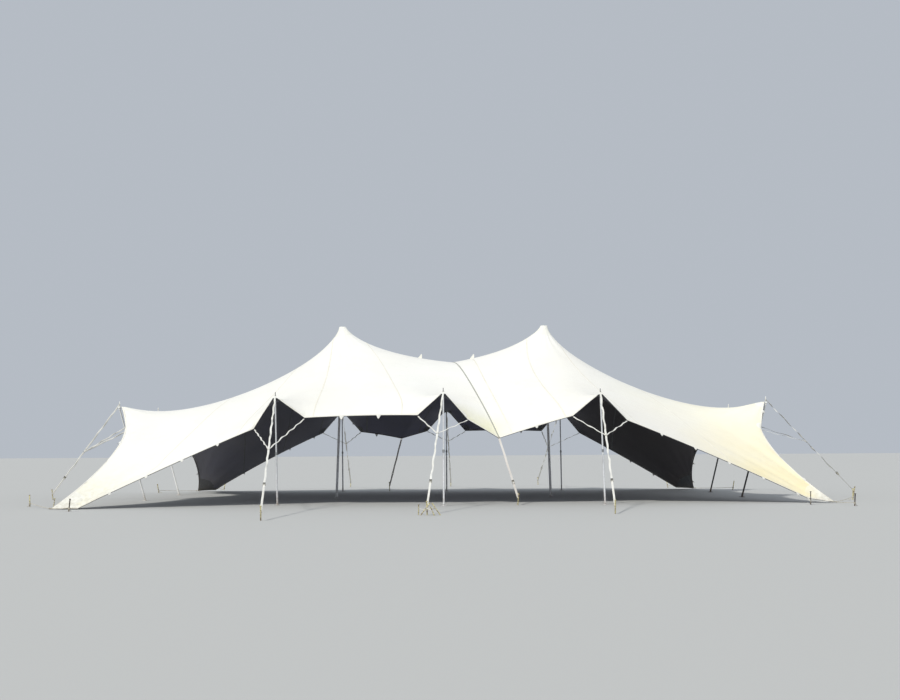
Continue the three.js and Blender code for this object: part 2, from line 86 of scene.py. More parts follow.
def feed(tree, node, inputs):
    """Links a node's inputs to the outputs of others, or gives them plain numbers and colours."""
    for key, value in inputs.items():
        socket = node.inputs[key]
        if isinstance(value, bpy.types.NodeSocket):
            tree.links.new(value, socket)
        elif socket.type == "RGBA":
            socket.default_value = (*value, 1)
        else:
            socket.default_value = value


def new_material(name, colour, roughness, metallic=0.0):
    """A material, its nodes and its shader, with plain values on the shader."""
    material = bpy.data.materials.new(name)
    material.use_nodes = True
    tree = material.node_tree
    shader = tree.nodes["Principled BSDF"]
    feed(tree, shader, {"Base Color": colour, "Roughness": roughness, "Metallic": metallic})
    return material, tree, shader


floor_mesh = bpy.data.meshes.new("floor")
floor_mesh.from_pydata(FLOOR_CORNERS, [], [(0, 1, 2, 3)])
floor_mesh.materials.append(new_material("floor_paint", (0.5, 0.5, 0.49), 0.9)[0])
floor = bpy.data.objects.new("floor", floor_mesh)
scene.collection.objects.link(floor)

sky = bpy.data.worlds.new("sky")
sky.use_nodes = True
feed(sky.node_tree, sky.node_tree.nodes["Background"], {"Color": (0.62, 0.67, 0.74), "Strength": 0.75})
scene.world = sky
scene.view_settings.view_transform = "Standard"

for name, direction, strength, spread, colour in LAMPS:
    lamp_data = bpy.data.lights.new(name, "SUN")
    lamp_data.energy = strength
    lamp_data.angle = math.radians(spread)
    lamp_data.color = colour
    lamp = bpy.data.objects.new(name, lamp_data)
    lamp.rotation_mode = "QUATERNION"
    lamp.rotation_quaternion = Vector(direction).to_track_quat("-Z", "Y")
    scene.collection.objects.link(lamp)

# Canopy. One sheet of coated elastic knit, off-white outside and grey inside, sewn from nine widths.
# It is pushed up by two centre poles and ten edge poles and pinned down at its corners, and its own
# stretch gives it its form, which is worked out here as a net of cords in balance.
NET_COLUMNS, NET_ROWS = 104, 56
CELL_LENGTH, CELL_WIDTH = 0.2, 0.205
CUT_WIDTH = CELL_WIDTH * NET_ROWS
CLOTH_THICKNESS, FLAT_SIZE = 0.006, (10.6, 20.0)
# Each cell of the net is made finer, and finer still within some cells of a pole, a corner or the rim
WIDE_STEPS, CLOSE_STEPS, CLOSE_CELLS = 2, 4, 2
# Pulls of the long hems, the end hems, the saddle strap, the ridge beyond the peaks and the two ends
HEM_PULL, END_HEM_PULL, SADDLE_PULL, RIDGE_PULL, END_PULL = 80.0, 1.0, 9.0, 0.8, 1.2
# The cloth's own pull is 1 at some cells from a peak, and rises towards the peak as a power
PEAK_PULL_CELLS, PEAK_PULL_POWER, RIDGE_CELLS = 12, -0.85, 8
PEAK_HEIGHT, PEAK_RADIUS, PEAK_ROW = 5.48, 0.11, 28
PEAKS = {36: (-3.28, -0.05), 68: (3.25, -0.05)}
HEAD_PATCH, HEAD_REACH = 0.055, 0.03
# Name, side of the tent, column or row of the net, head of the pole, its height and its foot
EDGE_POLES = [
    ("front_left", "front", 26, (-4.56, -5.25), 2.92, (-4.6, -4.5)),
    ("front_middle", "front", 46, (0.01, -5.4), 3.0, (0.01, -5.45)),
    ("front_right", "front", 68, (4.29, -5.2), 2.97, (4.36, -5.2)),
    ("rear_left", "rear", 36, (-3.8, 4.9), 2.9, (-3.74, 4.7)),
    ("rear_middle", "rear", 60, (0.05, 4.9), 2.95, (0.05, 4.75)),
    ("rear_right", "rear", 80, (4.25, 4.9), 2.9, (4.24, 4.7)),
    ("left_front", "left", 18, (-9.8, -2.1), 2.84, (-9.15, -1.45)),
    ("left_rear", "left", 40, (-9.95, 2.6), 2.77, (-9.15, 2.5)),
    ("right_front", "right", 18, (9.75, -2.05), 2.88, (9.15, -1.3)),
    ("right_rear", "right", 40, (9.85, 2.55), 2.77, (9.1, 2.4)),
]
POLE_HEADS = {name: np.array((*place, height)) for name, _, _, place, height, _ in EDGE_POLES}
# At the two ends of the tent the cloth stops short of the pole and is tied to its pin
CLOTH_INSET = {"left_front": 0.12, "left_rear": 0.12, "right_front": 0.1, "right_rear": 0.1}
# Where the two legs of each bridle hold the hem: steps of the net from the pole, way along the hem,
# heights, and way out
BRIDLE_HOLDS = {
    "front_left": ((-2, 4), (-0.59, 0.8), (2.1, 2.39), -0.02),
    "front_middle": ((-2, 2), (-0.7, 0.66), (2.44, 2.31), -0.02),
    "front_right": ((-4, 4), (-0.76, 0.72), (2.4, 2.27), -0.02),
    "rear_left": ((-4, 4), (-0.7, 0.7), (2.15, 2.18), -0.02),
    "rear_middle": ((-4, 4), (-0.7, 0.7), (2.2, 2.2), -0.02),
    "rear_right": ((-4, 4), (-0.7, 0.7), (2.18, 2.1), -0.02),
    "left_front": ((-4, 4), (-0.62, 0.62), (2.245, 2.33), -0.28),
    "left_rear": ((-4, 4), (-0.62, 0.62), (2.25, 2.15), -0.28),
    "right_front": ((-4, 4), (-0.62, 0.62), (2.06, 2.3), -0.26),
    "right_rear": ((-4, 4), (-0.62, 0.62), (2.25, 2.15), -0.26),
}
# Column and row of the net, tip of the cloth, and the hem some steps beside it, where it is still low
CORNERS = {
    "front_left": (0, 0, (-10.25, -6.05, 0.03), (-9.56, -6.08, 0.03)),
    "front_right": (NET_COLUMNS, 0, (10.6, -5.05, 0.03), (9.93, -4.93, 0.13)),
    "rear_left": (0, NET_ROWS, (-9.3, 5.85, 0.03), (-8.64, 5.85, 0.06)),
    "rear_right": (NET_COLUMNS, NET_ROWS, (9.25, 5.5, 0.03), (8.6, 5.48, 0.06)),
}
LOW_HEM_STEPS = 5
SADDLE_COLUMN = 53
SADDLE_LOWS = {0: (1.52, -5.05, 1.81), NET_ROWS: (-1.6, 4.85, 1.93)}
# The way along each side of the tent, and the way out of it
SIDE_WAYS = {
    "front": ((1, 0, 0), (0, -1, 0)),
    "rear": ((1, 0, 0), (0, 1, 0)),
    "left": ((0, 1, 0), (-1, 0, 0)),
    "right": ((0, 1, 0), (1, 0, 0)),
}
# Folds fan out from the held places: how many, from how far out, how far on and how deep
POLE_FOLDS, PEAK_FOLDS, CORNER_FOLDS = (9, 0.1, 1.3, 0.009), (11, 0.13, 1.9, 0.009), (21, 0.3, 4.6, 0.015)
RIM_FOLD_SHARE = 0.3


def unit(vectors):
    """The same vectors, one long."""
    vectors = np.asarray(vectors, float)
    return vectors / np.linalg.norm(vectors, axis=-1, keepdims=True)


def net_place(side, index, inward=0):
    """Column and row of the net at one side of the tent, some steps in from its hem."""
    return {
        "front": (index, inward),
        "rear": (index, NET_ROWS - inward),
        "left": (inward, index),
        "right": (NET_COLUMNS - inward, index),
    }[side]


def net_lines(last, close):
    """Places of the net's finer lines, in steps of the plain net: close together beside the poles."""
    lines = []
    for cell in range(last):
        is_close = any(abs(cell + 0.5 - place) < CLOSE_CELLS for place in close)
        steps = CLOSE_STEPS if is_close else WIDE_STEPS
        lines += [cell + k / steps for k in range(steps)]
    return np.array(lines + [last])


def nearest(lines, place):
    """Number of the finer line that is nearest to a column or row of the net."""
    return int(np.argmin(abs(lines - place)))


def held_cloth():
    """Points of the net that poles, bridles, corners and the saddle strap hold, and nan elsewhere."""
    held = np.full((len(lines_x), len(lines_y), 3), np.nan)

    def hold(column, row, place):
        held[nearest(lines_x, column), nearest(lines_y, row)] = place

    def hold_patch(block):
        columns, rows = sorted({c for c, _ in block}), sorted({r for _, r in block})
        for a in np.where((lines_x >= columns[0]) & (lines_x <= columns[2]))[0]:
            for b in np.where((lines_y >= rows[0]) & (lines_y <= rows[2]))[0]:
                c = min(int(lines_x[a] - columns[0]), 1)
                r = min(int(lines_y[b] - rows[0]), 1)
                s, t = lines_x[a] - columns[c], lines_y[b] - rows[r]
                near, far = (
                    (1 - s) * block[columns[c], rows[k]] + s * block[columns[c + 1], rows[k]]
                    for k in (r, r + 1)
                )
                held[a, b] = (1 - t) * near + t * far

    for column, row, tip, low_hem in CORNERS.values():
        hold(column, row, tip)
        hold(abs(column - LOW_HEM_STEPS), row, low_hem)
    for row, low in SADDLE_LOWS.items():
        hold(SADDLE_COLUMN, row, low)
    for column, (x, y) in PEAKS.items():
        block = {}
        for a in (-1, 0, 1):
            for b in (-1, 0, 1):
                reach = PEAK_RADIUS / math.sqrt(2) if a and b else PEAK_RADIUS
                block[column + a, PEAK_ROW + b] = np.array((x + a * reach, y + b * reach, PEAK_HEIGHT))
        hold_patch(block)
    for name, side, index, *_ in EDGE_POLES:
        along, out = (np.array(way) for way in SIDE_WAYS[side])
        centre = POLE_HEADS[name] - out * CLOTH_INSET.get(name, 0.0)
        block = {}
        for a in (-1, 0, 1):
            for b in (0, 1, 2):
                beyond = HEAD_REACH if b == 0 else (1 - b) * HEAD_PATCH
                block[net_place(side, index + a, b)] = centre + along * a * HEAD_PATCH + out * beyond
        hold_patch(block)
        cells, runs, heights, way_out = BRIDLE_HOLDS[name]
        for cell, run, high in zip(cells, runs, heights):
            place = centre + along * run + out * way_out
            place[2] = high
            hold(*net_place(side, index + cell), place)
    return held


def taut_cloth(held):
    """The net in balance: each free point at the mean of its neighbours, weighted by their pull."""
    mid_x, mid_y = (lines_x[1:] + lines_x[:-1]) / 2, (lines_y[1:] + lines_y[:-1]) / 2
    step_x, step_y = np.diff(lines_x), np.diff(lines_y)
    width_x, width_y = np.gradient(lines_x), np.gradient(lines_y)
    width_x[[0, -1]] /= 2
    width_y[[0, -1]] /= 2

    def cloth_pull(i, j):
        cells = np.minimum(*(np.hypot(i - column, j - PEAK_ROW) for column in PEAKS))
        return (np.maximum(cells, 1) / PEAK_PULL_CELLS) ** PEAK_PULL_POWER

    left, right = PEAKS
    i, j = mid_x[:, None], lines_y[None, :]
    beyond_peaks = (i < left) | (i > right)
    on_ridge = np.exp(-(((j - PEAK_ROW) / RIDGE_CELLS) ** 2))
    pull_x = cloth_pull(i, j) * (1 + beyond_peaks * RIDGE_PULL * on_ridge)
    edge = pull_x[:, [0, -1]] / 2
    pull_x = pull_x * width_y[None, :] / step_x[:, None]
    pull_x[:, [0, -1]] += (HEM_PULL + edge) / step_x[:, None]
    i, j = lines_x[:, None], mid_y[None, :]
    pull_y = cloth_pull(i, j) * (1 + END_PULL * (2 * i / NET_COLUMNS - 1) ** 4)
    edge = pull_y[[0, -1]] / 2
    pull_y = pull_y * width_x[:, None] / step_y[None, :]
    pull_y[[0, -1]] += (END_HEM_PULL + edge) / step_y[None, :]
    pull_y[nearest(lines_x, SADDLE_COLUMN)] += SADDLE_PULL / step_y

    # One column of the net after the other is expressed by the next one, and then they are filled in
    high = len(lines_y)
    carried = []
    for a in range(len(lines_x)):
        before = pull_x[a - 1] if a > 0 else np.zeros(high)
        after = pull_x[a] if a < len(mid_x) else np.zeros(high)
        down, up = np.append(0, pull_y[a]), np.append(pull_y[a], 0)
        own = np.diag(before + after + down + up) - np.diag(pull_y[a], 1) - np.diag(pull_y[a], -1)
        fixed = ~np.isnan(held[a, :, 0])
        own[fixed] = np.eye(high)[fixed]
        before, after = np.where(fixed, 0, before), np.where(fixed, 0, after)
        given = np.where(fixed[:, None], np.nan_to_num(held[a]), 0)
        if a:
            own -= before[:, None] * carried[-1][0]
            given = given + before[:, None] * carried[-1][1]
        solved = np.linalg.solve(own, np.hstack([np.diag(after), given]))
        carried.append((solved[:, :high], solved[:, high:]))
    points = [carried[-1][1]]
    for share, rest in carried[-2::-1]:
        points.append(rest + share @ points[-1])
    return np.array(points[::-1])


def face_normals(points):
    """Outward normal of the cloth at each point of the net."""
    return unit(np.cross(np.gradient(points, axis=0), np.gradient(points, axis=1)))


def fan_of_folds(points, centre, count, start, reach, depth, seed):
    """Depth of the folds that fan out from a held place, at each point of the net."""
    rng = np.random.default_rng(seed)
    away = points - np.array(centre)
    distance = np.linalg.norm(away, axis=2)
    turn = np.arctan2(away[..., 1], away[..., 0])
    waves = sum(
        rng.uniform(0.5, 1) * np.sin(count * f * turn + rng.uniform(0, 6.28)) for f in (1, 0.62, 1.7)
    )
    rise = np.clip((distance - start) / (0.25 * reach), 0, 1)
    fall = np.exp(-((np.maximum(distance - start, 0) / (0.6 * reach)) ** 2))
    return depth * waves * rise * fall


held_columns = {index for _, side, index, *_ in EDGE_POLES if side in ("front", "rear")}
held_rows = {index for _, side, index, *_ in EDGE_POLES if side in ("left", "right")}
lines_x = net_lines(NET_COLUMNS, held_columns | set(PEAKS) | {0, NET_COLUMNS})
lines_y = net_lines(NET_ROWS, held_rows | {0, PEAK_ROW, NET_ROWS})
cloth_held = held_cloth()
cloth_top = taut_cloth(cloth_held)
cloth_normal = face_normals(cloth_top)
folds = np.zeros(cloth_top.shape[:2])
for places, fold_sizes, first_seed in (
    (POLE_HEADS.values(), POLE_FOLDS, 0),
    ([(*place, PEAK_HEIGHT) for place in PEAKS.values()], PEAK_FOLDS, 20),
    ([tip for _, _, tip, _ in CORNERS.values()], CORNER_FOLDS, 40),
):
    for k, place in enumerate(places):
        folds += fan_of_folds(cloth_top, place, *fold_sizes, first_seed + k)
folds *= np.isnan(cloth_held[..., 0])
rim = np.ones_like(folds)
rim[0] = rim[-1] = rim[:, 0] = rim[:, -1] = RIM_FOLD_SHARE
cloth_top = cloth_top + cloth_normal * (folds * rim)[..., None]
cloth_normal = face_normals(cloth_top)


def cloth_point(column, row, above=0.0):
    """Points on the cloth's outer face, at columns and rows of the net, and its normals there."""
    a = np.interp(column, lines_x, np.arange(len(lines_x)))
    b = np.interp(row, lines_y, np.arange(len(lines_y)))
    i = np.minimum(np.asarray(a, int), len(lines_x) - 2)
    j = np.minimum(np.asarray(b, int), len(lines_y) - 2)
    s, t = (a - i)[..., None], (b - j)[..., None]

    def mixed(grid):
        near, far = grid[i, j], grid[i + 1, j + 1]
        below = near + s * (grid[i + 1, j] - near) + t * (far - grid[i + 1, j])
        beyond = near + t * (grid[i, j + 1] - near) + s * (far - grid[i, j + 1])
        return np.where(s > t, below, beyond)

    normal = unit(mixed(cloth_normal))
    return mixed(cloth_top) + normal * above, normal


def add_node(tree, kind, inputs=None, **settings):
    """A node with its settings, and its inputs fed."""
    node = tree.nodes.new(kind)
    for key, value in settings.items():
        setattr(node, key, value)
    feed(tree, node, inputs or {})
    return node


def new_group(name, inputs, outputs):
    """A shader node group: its tree, its input node's outputs and its output node.

    Its inputs are numbers with their usual values, or vectors where no value is given.
    """
    tree = bpy.data.node_groups.new(name, "ShaderNodeTree")
    for label, value in inputs.items():
        kind = "NodeSocketVector" if value is None else "NodeSocketFloat"
        socket = tree.interface.new_socket(label, in_out="INPUT", socket_type=kind)
        if value is not None:
            socket.default_value = value
    for label in outputs:
        tree.interface.new_socket(label, in_out="OUTPUT", socket_type="NodeSocketFloat")
    return tree, tree.nodes.new("NodeGroupInput").outputs, tree.nodes.new("NodeGroupOutput")


def places_on(tree):
    """Where each point of a surface lies in the tent, and on the surface's own map."""
    outputs = add_node(tree, "ShaderNodeTexCoord").outputs
    return outputs["Object"], outputs["UV"]


def apart(tree, vector):
    """The three parts of a vector."""
    return add_node(tree, "ShaderNodeSeparateXYZ", {0: vector}).outputs


def maths(tree, operation, *values):
    """A Math node's result."""
    return add_node(tree, "ShaderNodeMath", dict(enumerate(values)), operation=operation).outputs[0]


def blended(tree, share, first, second):
    """Two colours mixed, with the share of the second one."""
    return add_node(tree, "ShaderNodeMix", {0: share, 6: first, 7: second}, data_type="RGBA").outputs[2]


def ranged(tree, value, low, high, to_low=0.0, to_high=1.0):
    """A value brought from one range to another and kept inside it."""
    ends = {"From Min": low, "From Max": high, "To Min": to_low, "To Max": to_high}
    return add_node(tree, "ShaderNodeMapRange", {"Value": value, **ends}).outputs["Result"]


def noise(tree, place, scale, detail, rough=0.5, distortion=0.0):
    """Noise at a scale in parts of a metre."""
    values = {"Scale": scale, "Detail": detail, "Roughness": rough, "Distortion": distortion}
    return add_node(tree, "ShaderNodeTexNoise", {"Vector": place, **values}).outputs["Fac"]


def speckle(tree, place, scale, low, high):
    """Noise sharpened between two levels into a mask."""
    return ranged(tree, noise(tree, place, scale, 4.0, 0.55), low, high)


def bump(tree, height, strength, distance, under=None):
    """Normals that a height bends, from those of another bump where one lies under it."""
    inputs = {"Height": height, "Strength": strength, "Distance": distance}
    if under is not None:
        inputs["Normal"] = under
    return add_node(tree, "ShaderNodeBump", inputs).outputs["Normal"]


# Knit: courses of loops along one way of the cloth and wales along the other
knit, knit_in, knit_out = new_group("knit", {"Place": None, "Loops per metre": 420.0}, ["Height"])
ribs = []
for k, share in enumerate((1.0, 0.6)):
    turn = maths(knit, "MULTIPLY", apart(knit, knit_in["Place"])[k], 6.283 * share)
    ribs.append(maths(knit, "SINE", maths(knit, "MULTIPLY", turn, knit_in["Loops per metre"])))
feed(knit, knit_out, {"Height": maths(knit, "MULTIPLY_ADD", maths(knit, "ABSOLUTE", ribs[0]), 0.7, ribs[1])})

# Grime: splashed earth near the ground, and dull blotches and runs higher up
grime, grime_in, grime_out = new_group("grime", {"Splash height": 0.5, "Blotches": 0.4}, ["Splash", "Blotch"])
place, _ = places_on(grime)
height = maths(grime, "DIVIDE", apart(grime, place)["Z"], grime_in["Splash height"])
low_part = maths(grime, "MAXIMUM", maths(grime, "SUBTRACT", 1.0, height), 0.0)
splashes = maths(grime, "MULTIPLY", low_part, speckle(grime, place, 9, 0.3, 0.75))
broad, fine = speckle(grime, place, 1.3, 0.45, 0.8), speckle(grime, place, 7.0, 0.35, 0.8)
blotches = maths(grime, "MULTIPLY", maths(grime, "MULTIPLY", broad, fine), grime_in["Blotches"])
feed(grime, grime_out, {"Splash": splashes, "Blotch": blotches})


def knitted(tree, on_map, loops=420.0):
    """Height of the knit, over a map in metres."""
    inputs = {"Place": on_map, "Loops per metre": loops}
    return add_node(tree, "ShaderNodeGroup", inputs, node_tree=knit).outputs["Height"]


def dirt_on(tree, splash_height, blotches):
    """Masks of the splashed earth and of the blotches on a surface."""
    inputs = {"Splash height": splash_height, "Blotches": blotches}
    masks = add_node(tree, "ShaderNodeGroup", inputs, node_tree=grime).outputs
    return masks["Splash"], masks["Blotch"]


def soiled(tree, colour, splash_height, blotches, blotch_tint, splash_share, splash_tint):
    """A colour with blotches on it and, near the ground, splashed earth."""
    splash, blotch = dirt_on(tree, splash_height, blotches)
    colour = blended(tree, blotch, colour, blotch_tint)
    return blended(tree, maths(tree, "MULTIPLY", splash, splash_share), colour, splash_tint)


outer_cloth, tree, shader = new_material("outer_cloth", (0.84, 0.81, 0.73), 0.62)
place, on_map = places_on(tree)
cream = blended(tree, speckle(tree, place, 0.22, 0.35, 0.7), (0.88, 0.87, 0.83), (0.86, 0.83, 0.765))
# The right end, which faces away from the sun, is painted a shaded cream, less so in a band beside each hem
from_front = apart(tree, on_map)["Y"]
beside_hem = maths(tree, "MINIMUM", from_front, maths(tree, "SUBTRACT", CUT_WIDTH, from_front))
right_end_shade = ranged(tree, apart(tree, place)["X"], 4.5, 9.5, to_high=0.8)
right_end_shade = maths(tree, "MULTIPLY", right_end_shade, ranged(tree, beside_hem, 0.5, 2.4, to_low=0.25))
right_end_shade = maths(tree, "MULTIPLY", right_end_shade, maths(tree, "ADD", speckle(tree, place, 0.6, 0.25, 0.75), 0.35))
cream = blended(tree, right_end_shade, cream, (0.87, 0.82, 0.62))
cream = soiled(tree, cream, 0.9, 0.22, (0.6, 0.56, 0.46), 0.6, (0.36, 0.3, 0.19))
# Stains, and broad tints of which two are painted shade: middle, reach, colour, strength and how fine their
# edge breaks up
for spot, reach, tint, strength, breaks in [
    ((-1.97, -4.0, 3.55), 0.13, (0.35, 0.33, 0.27), 0.55, 11),
    ((8.95, -4.33, 0.72), 0.09, (0.42, 0.2, 0.12), 0.6, 11),
    ((-9.2, -3.2, 2.35), 0.22, (0.66, 0.58, 0.3), 0.35, 11),
    ((8.35, -3.95, 1.95), 0.2, (0.5, 0.42, 0.3), 0.35, 11),
    ((-10.2, -6.0, 0.0), 2.6, (0.84, 0.81, 0.55), 0.6, 0.7),
    # Painted shade left of the saddle strap, where the cloth faces away from the sun
    ((0.85, -5.0, 2.05), 1.25, (0.83, 0.81, 0.5), 0.8, 0.9),
    # Painted shade at the front right corner, which faces away from the sun
    ((9.4, -4.6, 0.5), 3.3, (0.86, 0.75, 0.44), 0.85, 0.4),
]:
    away = add_node(tree, "ShaderNodeVectorMath", {0: place, 1: spot}, operation="DISTANCE").outputs["Value"]
    soft = ranged(tree, away, reach, reach * 0.2, to_high=strength)
    broken = maths(tree, "MULTIPLY", soft, speckle(tree, place, breaks, 0.2, 0.6))
    cream = blended(tree, broken, cream, tint)
dull = ranged(tree, speckle(tree, place, 2.5, 0.3, 0.7), 0.0, 1.0, 0.52, 0.74)
# Creases left by the pull run slantwise over the cloth towards its corners, with small puckers on them
slanted = {"Vector": on_map, "Rotation": (0, 0, 0.6), "Scale": (0.5, 4.2, 1.0)}
slant = add_node(tree, "ShaderNodeMapping", slanted).outputs["Vector"]
normals = bump(tree, noise(tree, slant, 1.0, 3.0, distortion=0.3), 0.16, 0.05)
normals = bump(tree, noise(tree, place, 3.2, 5.0), 0.22, 0.02, normals)
normals = bump(tree, knitted(tree, on_map), 0.25, 0.0006, normals)
feed(tree, shader, {"Base Color": cream, "Roughness": dull, "Sheen Weight": 0.12, "Normal": normals})

inner_cloth, tree, shader = new_material("inner_cloth", (0.15, 0.155, 0.19), 0.78)
place, on_map = places_on(tree)
# The lining's dark grey is partly painted shade under the canopy, and it is painted lighter and olive towards
# the left end, where sun comes through the cloth
along_tent = apart(tree, place)["X"]
grey = blended(tree, ranged(tree, along_tent, -1.0, -7.0), (0.135, 0.135, 0.2), (0.165, 0.16, 0.17))
grey = blended(tree, speckle(tree, place, 0.5, 0.3, 0.75), grey, (0.15, 0.15, 0.19))
# Painted shade: darker towards the right end, where the shade under the canopy is deepest
grey = blended(tree, ranged(tree, along_tent, 2.5, 5.5, to_high=0.85), grey, (0.075, 0.066, 0.06))
grey = soiled(tree, grey, 0.8, 0.5, (0.12, 0.115, 0.1), 0.5, (0.2, 0.17, 0.12))
feed(tree, shader, {"Base Color": grey, "Normal": bump(tree, knitted(tree, on_map), 0.3, 0.0006)})


def make_piece(name, parts, materials, sharp=None):
    """One mesh that rides on the tent, joined from parts that were made apart.

    A part is its points, its faces, its points' places on a map in metres, and the number of its material
    or of each face's. Where faces meet at more than the sharp angle, the edge stays sharp.
    """
    points, faces, flat, which, first = [], [], [], [], 0
    for part_points, part_faces, part_flat, part_which in parts:
        points.append(np.asarray(part_points, float))
        faces += [tuple(v + first for v in face) for face in part_faces]
        flat.append(part_flat)
        which.append(np.broadcast_to(part_which, len(part_faces)))
        first += len(part_points)
    mesh = bpy.data.meshes.new(name)
    mesh.from_pydata([tuple(p) for p in np.concatenate(points)], [], faces)
    for material in materials:
        mesh.materials.append(material)
    ends = np.empty(len(mesh.loops), dtype=np.int32)
    mesh.loops.foreach_get("vertex_index", ends)
    places = np.concatenate(flat).astype(np.float32)[ends]
    mesh.uv_layers.new(name="map").data.foreach_set("uv", places.ravel())
    mesh.polygons.foreach_set("material_index", np.concatenate(which).astype(np.int32))
    mesh.polygons.foreach_set("use_smooth", np.full(len(mesh.polygons), True))
    mesh.update()
    if sharp:
        mesh.set_sharp_from_angle(angle=math.radians(sharp))
    piece = bpy.data.objects.new(name, mesh)
    scene.collection.objects.link(piece)
    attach(piece, "root")
    return piece


def cloth_shell():
    """The whole sheet as a part, with its outer face, inner face and cut edge, and the nodes of its edge."""
    columns, rows = cloth_top.shape[:2]
    under = cloth_top - cloth_normal * CLOTH_THICKNESS
    points = np.concatenate([cloth_top.reshape(-1, 3), under.reshape(-1, 3)])
    a, b = np.meshgrid(np.arange(columns - 1), np.arange(rows - 1), indexing="ij")
    first = (a * rows + b).ravel()
    outer = np.stack([first, first + rows, first + rows + 1, first + 1], axis=1)
    inner = outer[:, [0, 3, 2, 1]] + columns * rows
    around = [(i, 0) for i in range(columns)] + [(columns - 1, j) for j in range(1, rows)]
    around += [(i, rows - 1) for i in range(columns - 2, -1, -1)] + [(0, j) for j in range(rows - 2, 0, -1)]
    ring = np.array([i * rows + j for i, j in around])
    beyond = np.roll(ring, -1)
    edge = np.stack([ring + columns * rows, beyond + columns * rows, beyond, ring], axis=1)
    faces = np.concatenate([outer, inner, edge])
    which = np.repeat([0, 1, 0], [len(outer), len(inner), len(edge)])
    flat_x, flat_y = np.meshgrid(lines_x * CELL_LENGTH, lines_y * CELL_WIDTH, indexing="ij")
    flat = np.stack([flat_x.ravel(), flat_y.ravel()], axis=1)
    return (points, faces, np.concatenate([flat, flat]), which), around


shell, hem_nodes = cloth_shell()
canopy = make_piece("canopy", [shell], [outer_cloth, inner_cloth])
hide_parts(*[f"canopy_panel_{k}" for k in range(1, 10)])

# Hem. The edge of the cloth is bound with a folded tape, cream on the outer face and dark round the
# edge and inside, that is sewn with two rows of stitches round a thin rope, so that the edge stays round.
# The dark roll is partly painted shade along the edge of the cloth.
HEM_FLAP, HEM_TAPE, HEM_ROPE, HEM_ROPE_OUT = 0.045, 0.0016, 0.0085, 0.006
# How far the flap's edge and its middle stand off the cloth, and how much further where the cloth warps
FLAP_EDGE_RISE, FLAP_MIDDLE_RISE = 0.0022, 0.0028
WARP_SHARE, MOST_WARP = 0.5, 0.008

# Stitches: short raised threads in a row along the first way of the map, at one place across it
stitches, stitches_in, stitches_out = new_group(
    "stitches", {"Place": None, "Row": 0.0, "Pitch": 0.009, "Thread": 0.0011}, ["Mask"]
)
stitch_way = apart(stitches, stitches_in["Place"])
off_row = maths(stitches, "ABSOLUTE", maths(stitches, "SUBTRACT", stitch_way[1], stitches_in["Row"]))
near_row = maths(stitches, "LESS_THAN", off_row, stitches_in["Thread"])
step = maths(stitches, "FRACT", maths(stitches, "DIVIDE", stitch_way[0], stitches_in["Pitch"]))
on_thread = maths(stitches, "LESS_THAN", step, 0.68)
feed(stitches, stitches_out, {"Mask": maths(stitches, "MULTIPLY", near_row, on_thread)})


def tape_material(name, light, dark, thread, rows, soil=0.35, splashed=0.7):
    """Sewn tape: woven ground, rows of stitches, and dirt that has rubbed in."""
    material, tree, shader = new_material(name, light, 0.75)
    place, on_map = places_on(tree)
    colour = blended(tree, speckle(tree, place, 2.1, 0.3, 0.75), light, dark)
    colour = soiled(tree, colour, splashed, soil, tuple(0.55 * c for c in dark), 0.6, (0.3, 0.25, 0.17))
    height = maths(tree, "MULTIPLY", knitted(tree, on_map, 330.0), 0.25)
    for row in rows:
        inputs = {"Place": on_map, "Row": row}
        sewn = add_node(tree, "ShaderNodeGroup", inputs, node_tree=stitches).outputs["Mask"]
        colour = blended(tree, sewn, colour, thread)
        height = maths(tree, "ADD", height, sewn)
    feed(tree, shader, {"Base Color": colour, "Normal": bump(tree, height, 0.5, 0.0008)})
    return material


def skin_faces(count, sides, closed=False):
    """Faces between rings of points, and over the first and last ring unless the row of rings closes."""
    around = [(e, (e + 1) % sides) for e in range(sides)]
    faces = []
    for k in range(count if closed else count - 1):
        here, there = k * sides, (k + 1) % count * sides
        faces += [(here + e, here + f, there + f, there + e) for e, f in around]
    if not closed:
        faces += [tuple(range(sides - 1, -1, -1)), tuple((count - 1) * sides + e for e in range(sides))]
    return faces


def swept(path, profiles, across, over, closed=False, which=0):
    """A part made by carrying a closed profile, or one for each point, along a path."""
    path, profiles = np.asarray(path, float), np.asarray(profiles, float)
    if profiles.ndim == 2:
        profiles = np.repeat(profiles[None], len(path), axis=0)
    count, sides = profiles.shape[:2]
    points = path[:, None] + across[:, None] * profiles[..., :1] + over[:, None] * profiles[..., 1:]
    run = np.append(0, np.cumsum(np.linalg.norm(np.diff(path, axis=0), axis=1)))
    walk = np.append(0, np.cumsum(np.linalg.norm(np.diff(profiles[count // 2], axis=0), axis=1)))
    flat = np.stack(np.meshgrid(run, walk, indexing="ij"), axis=2).reshape(-1, 2)
    return points.reshape(-1, 3), skin_faces(count, sides, closed), flat, which


def beside_edge(node, distance):
    """A point of the cloth at a distance in from its edge, its normal, and how much the cloth warps there."""
    last = np.array(cloth_top.shape[:2]) - 1
    inward = np.where(np.array(node) == 0, 1, np.where(np.array(node) == last, -1, 0))
    steps = [tuple(np.array(node) + inward * k) for k in range(5)]
    line, normals = (np.array([grid[step] for step in steps]) for grid in (cloth_top, cloth_normal))
    run = np.append(0, np.cumsum(np.linalg.norm(np.diff(line, axis=0), axis=1)))
    place, normal = (
        np.array([np.interp(distance, run, grid[:, k]) for k in range(3)]) for grid in (line, normals)
    )
    warp = 0.0
    for way in (1, -1):
        beside = [np.clip(np.array(step) + way * (inward == 0), 0, last) for step in steps[:4]]
        gaps = [cloth_top[tuple(there)] - cloth_top[step] for there, step in zip(beside, steps)]
        warp = max(warp, *(abs(np.dot(after - before, normal)) for before, after in zip(gaps, gaps[1:])))
    return place, unit(normal), warp


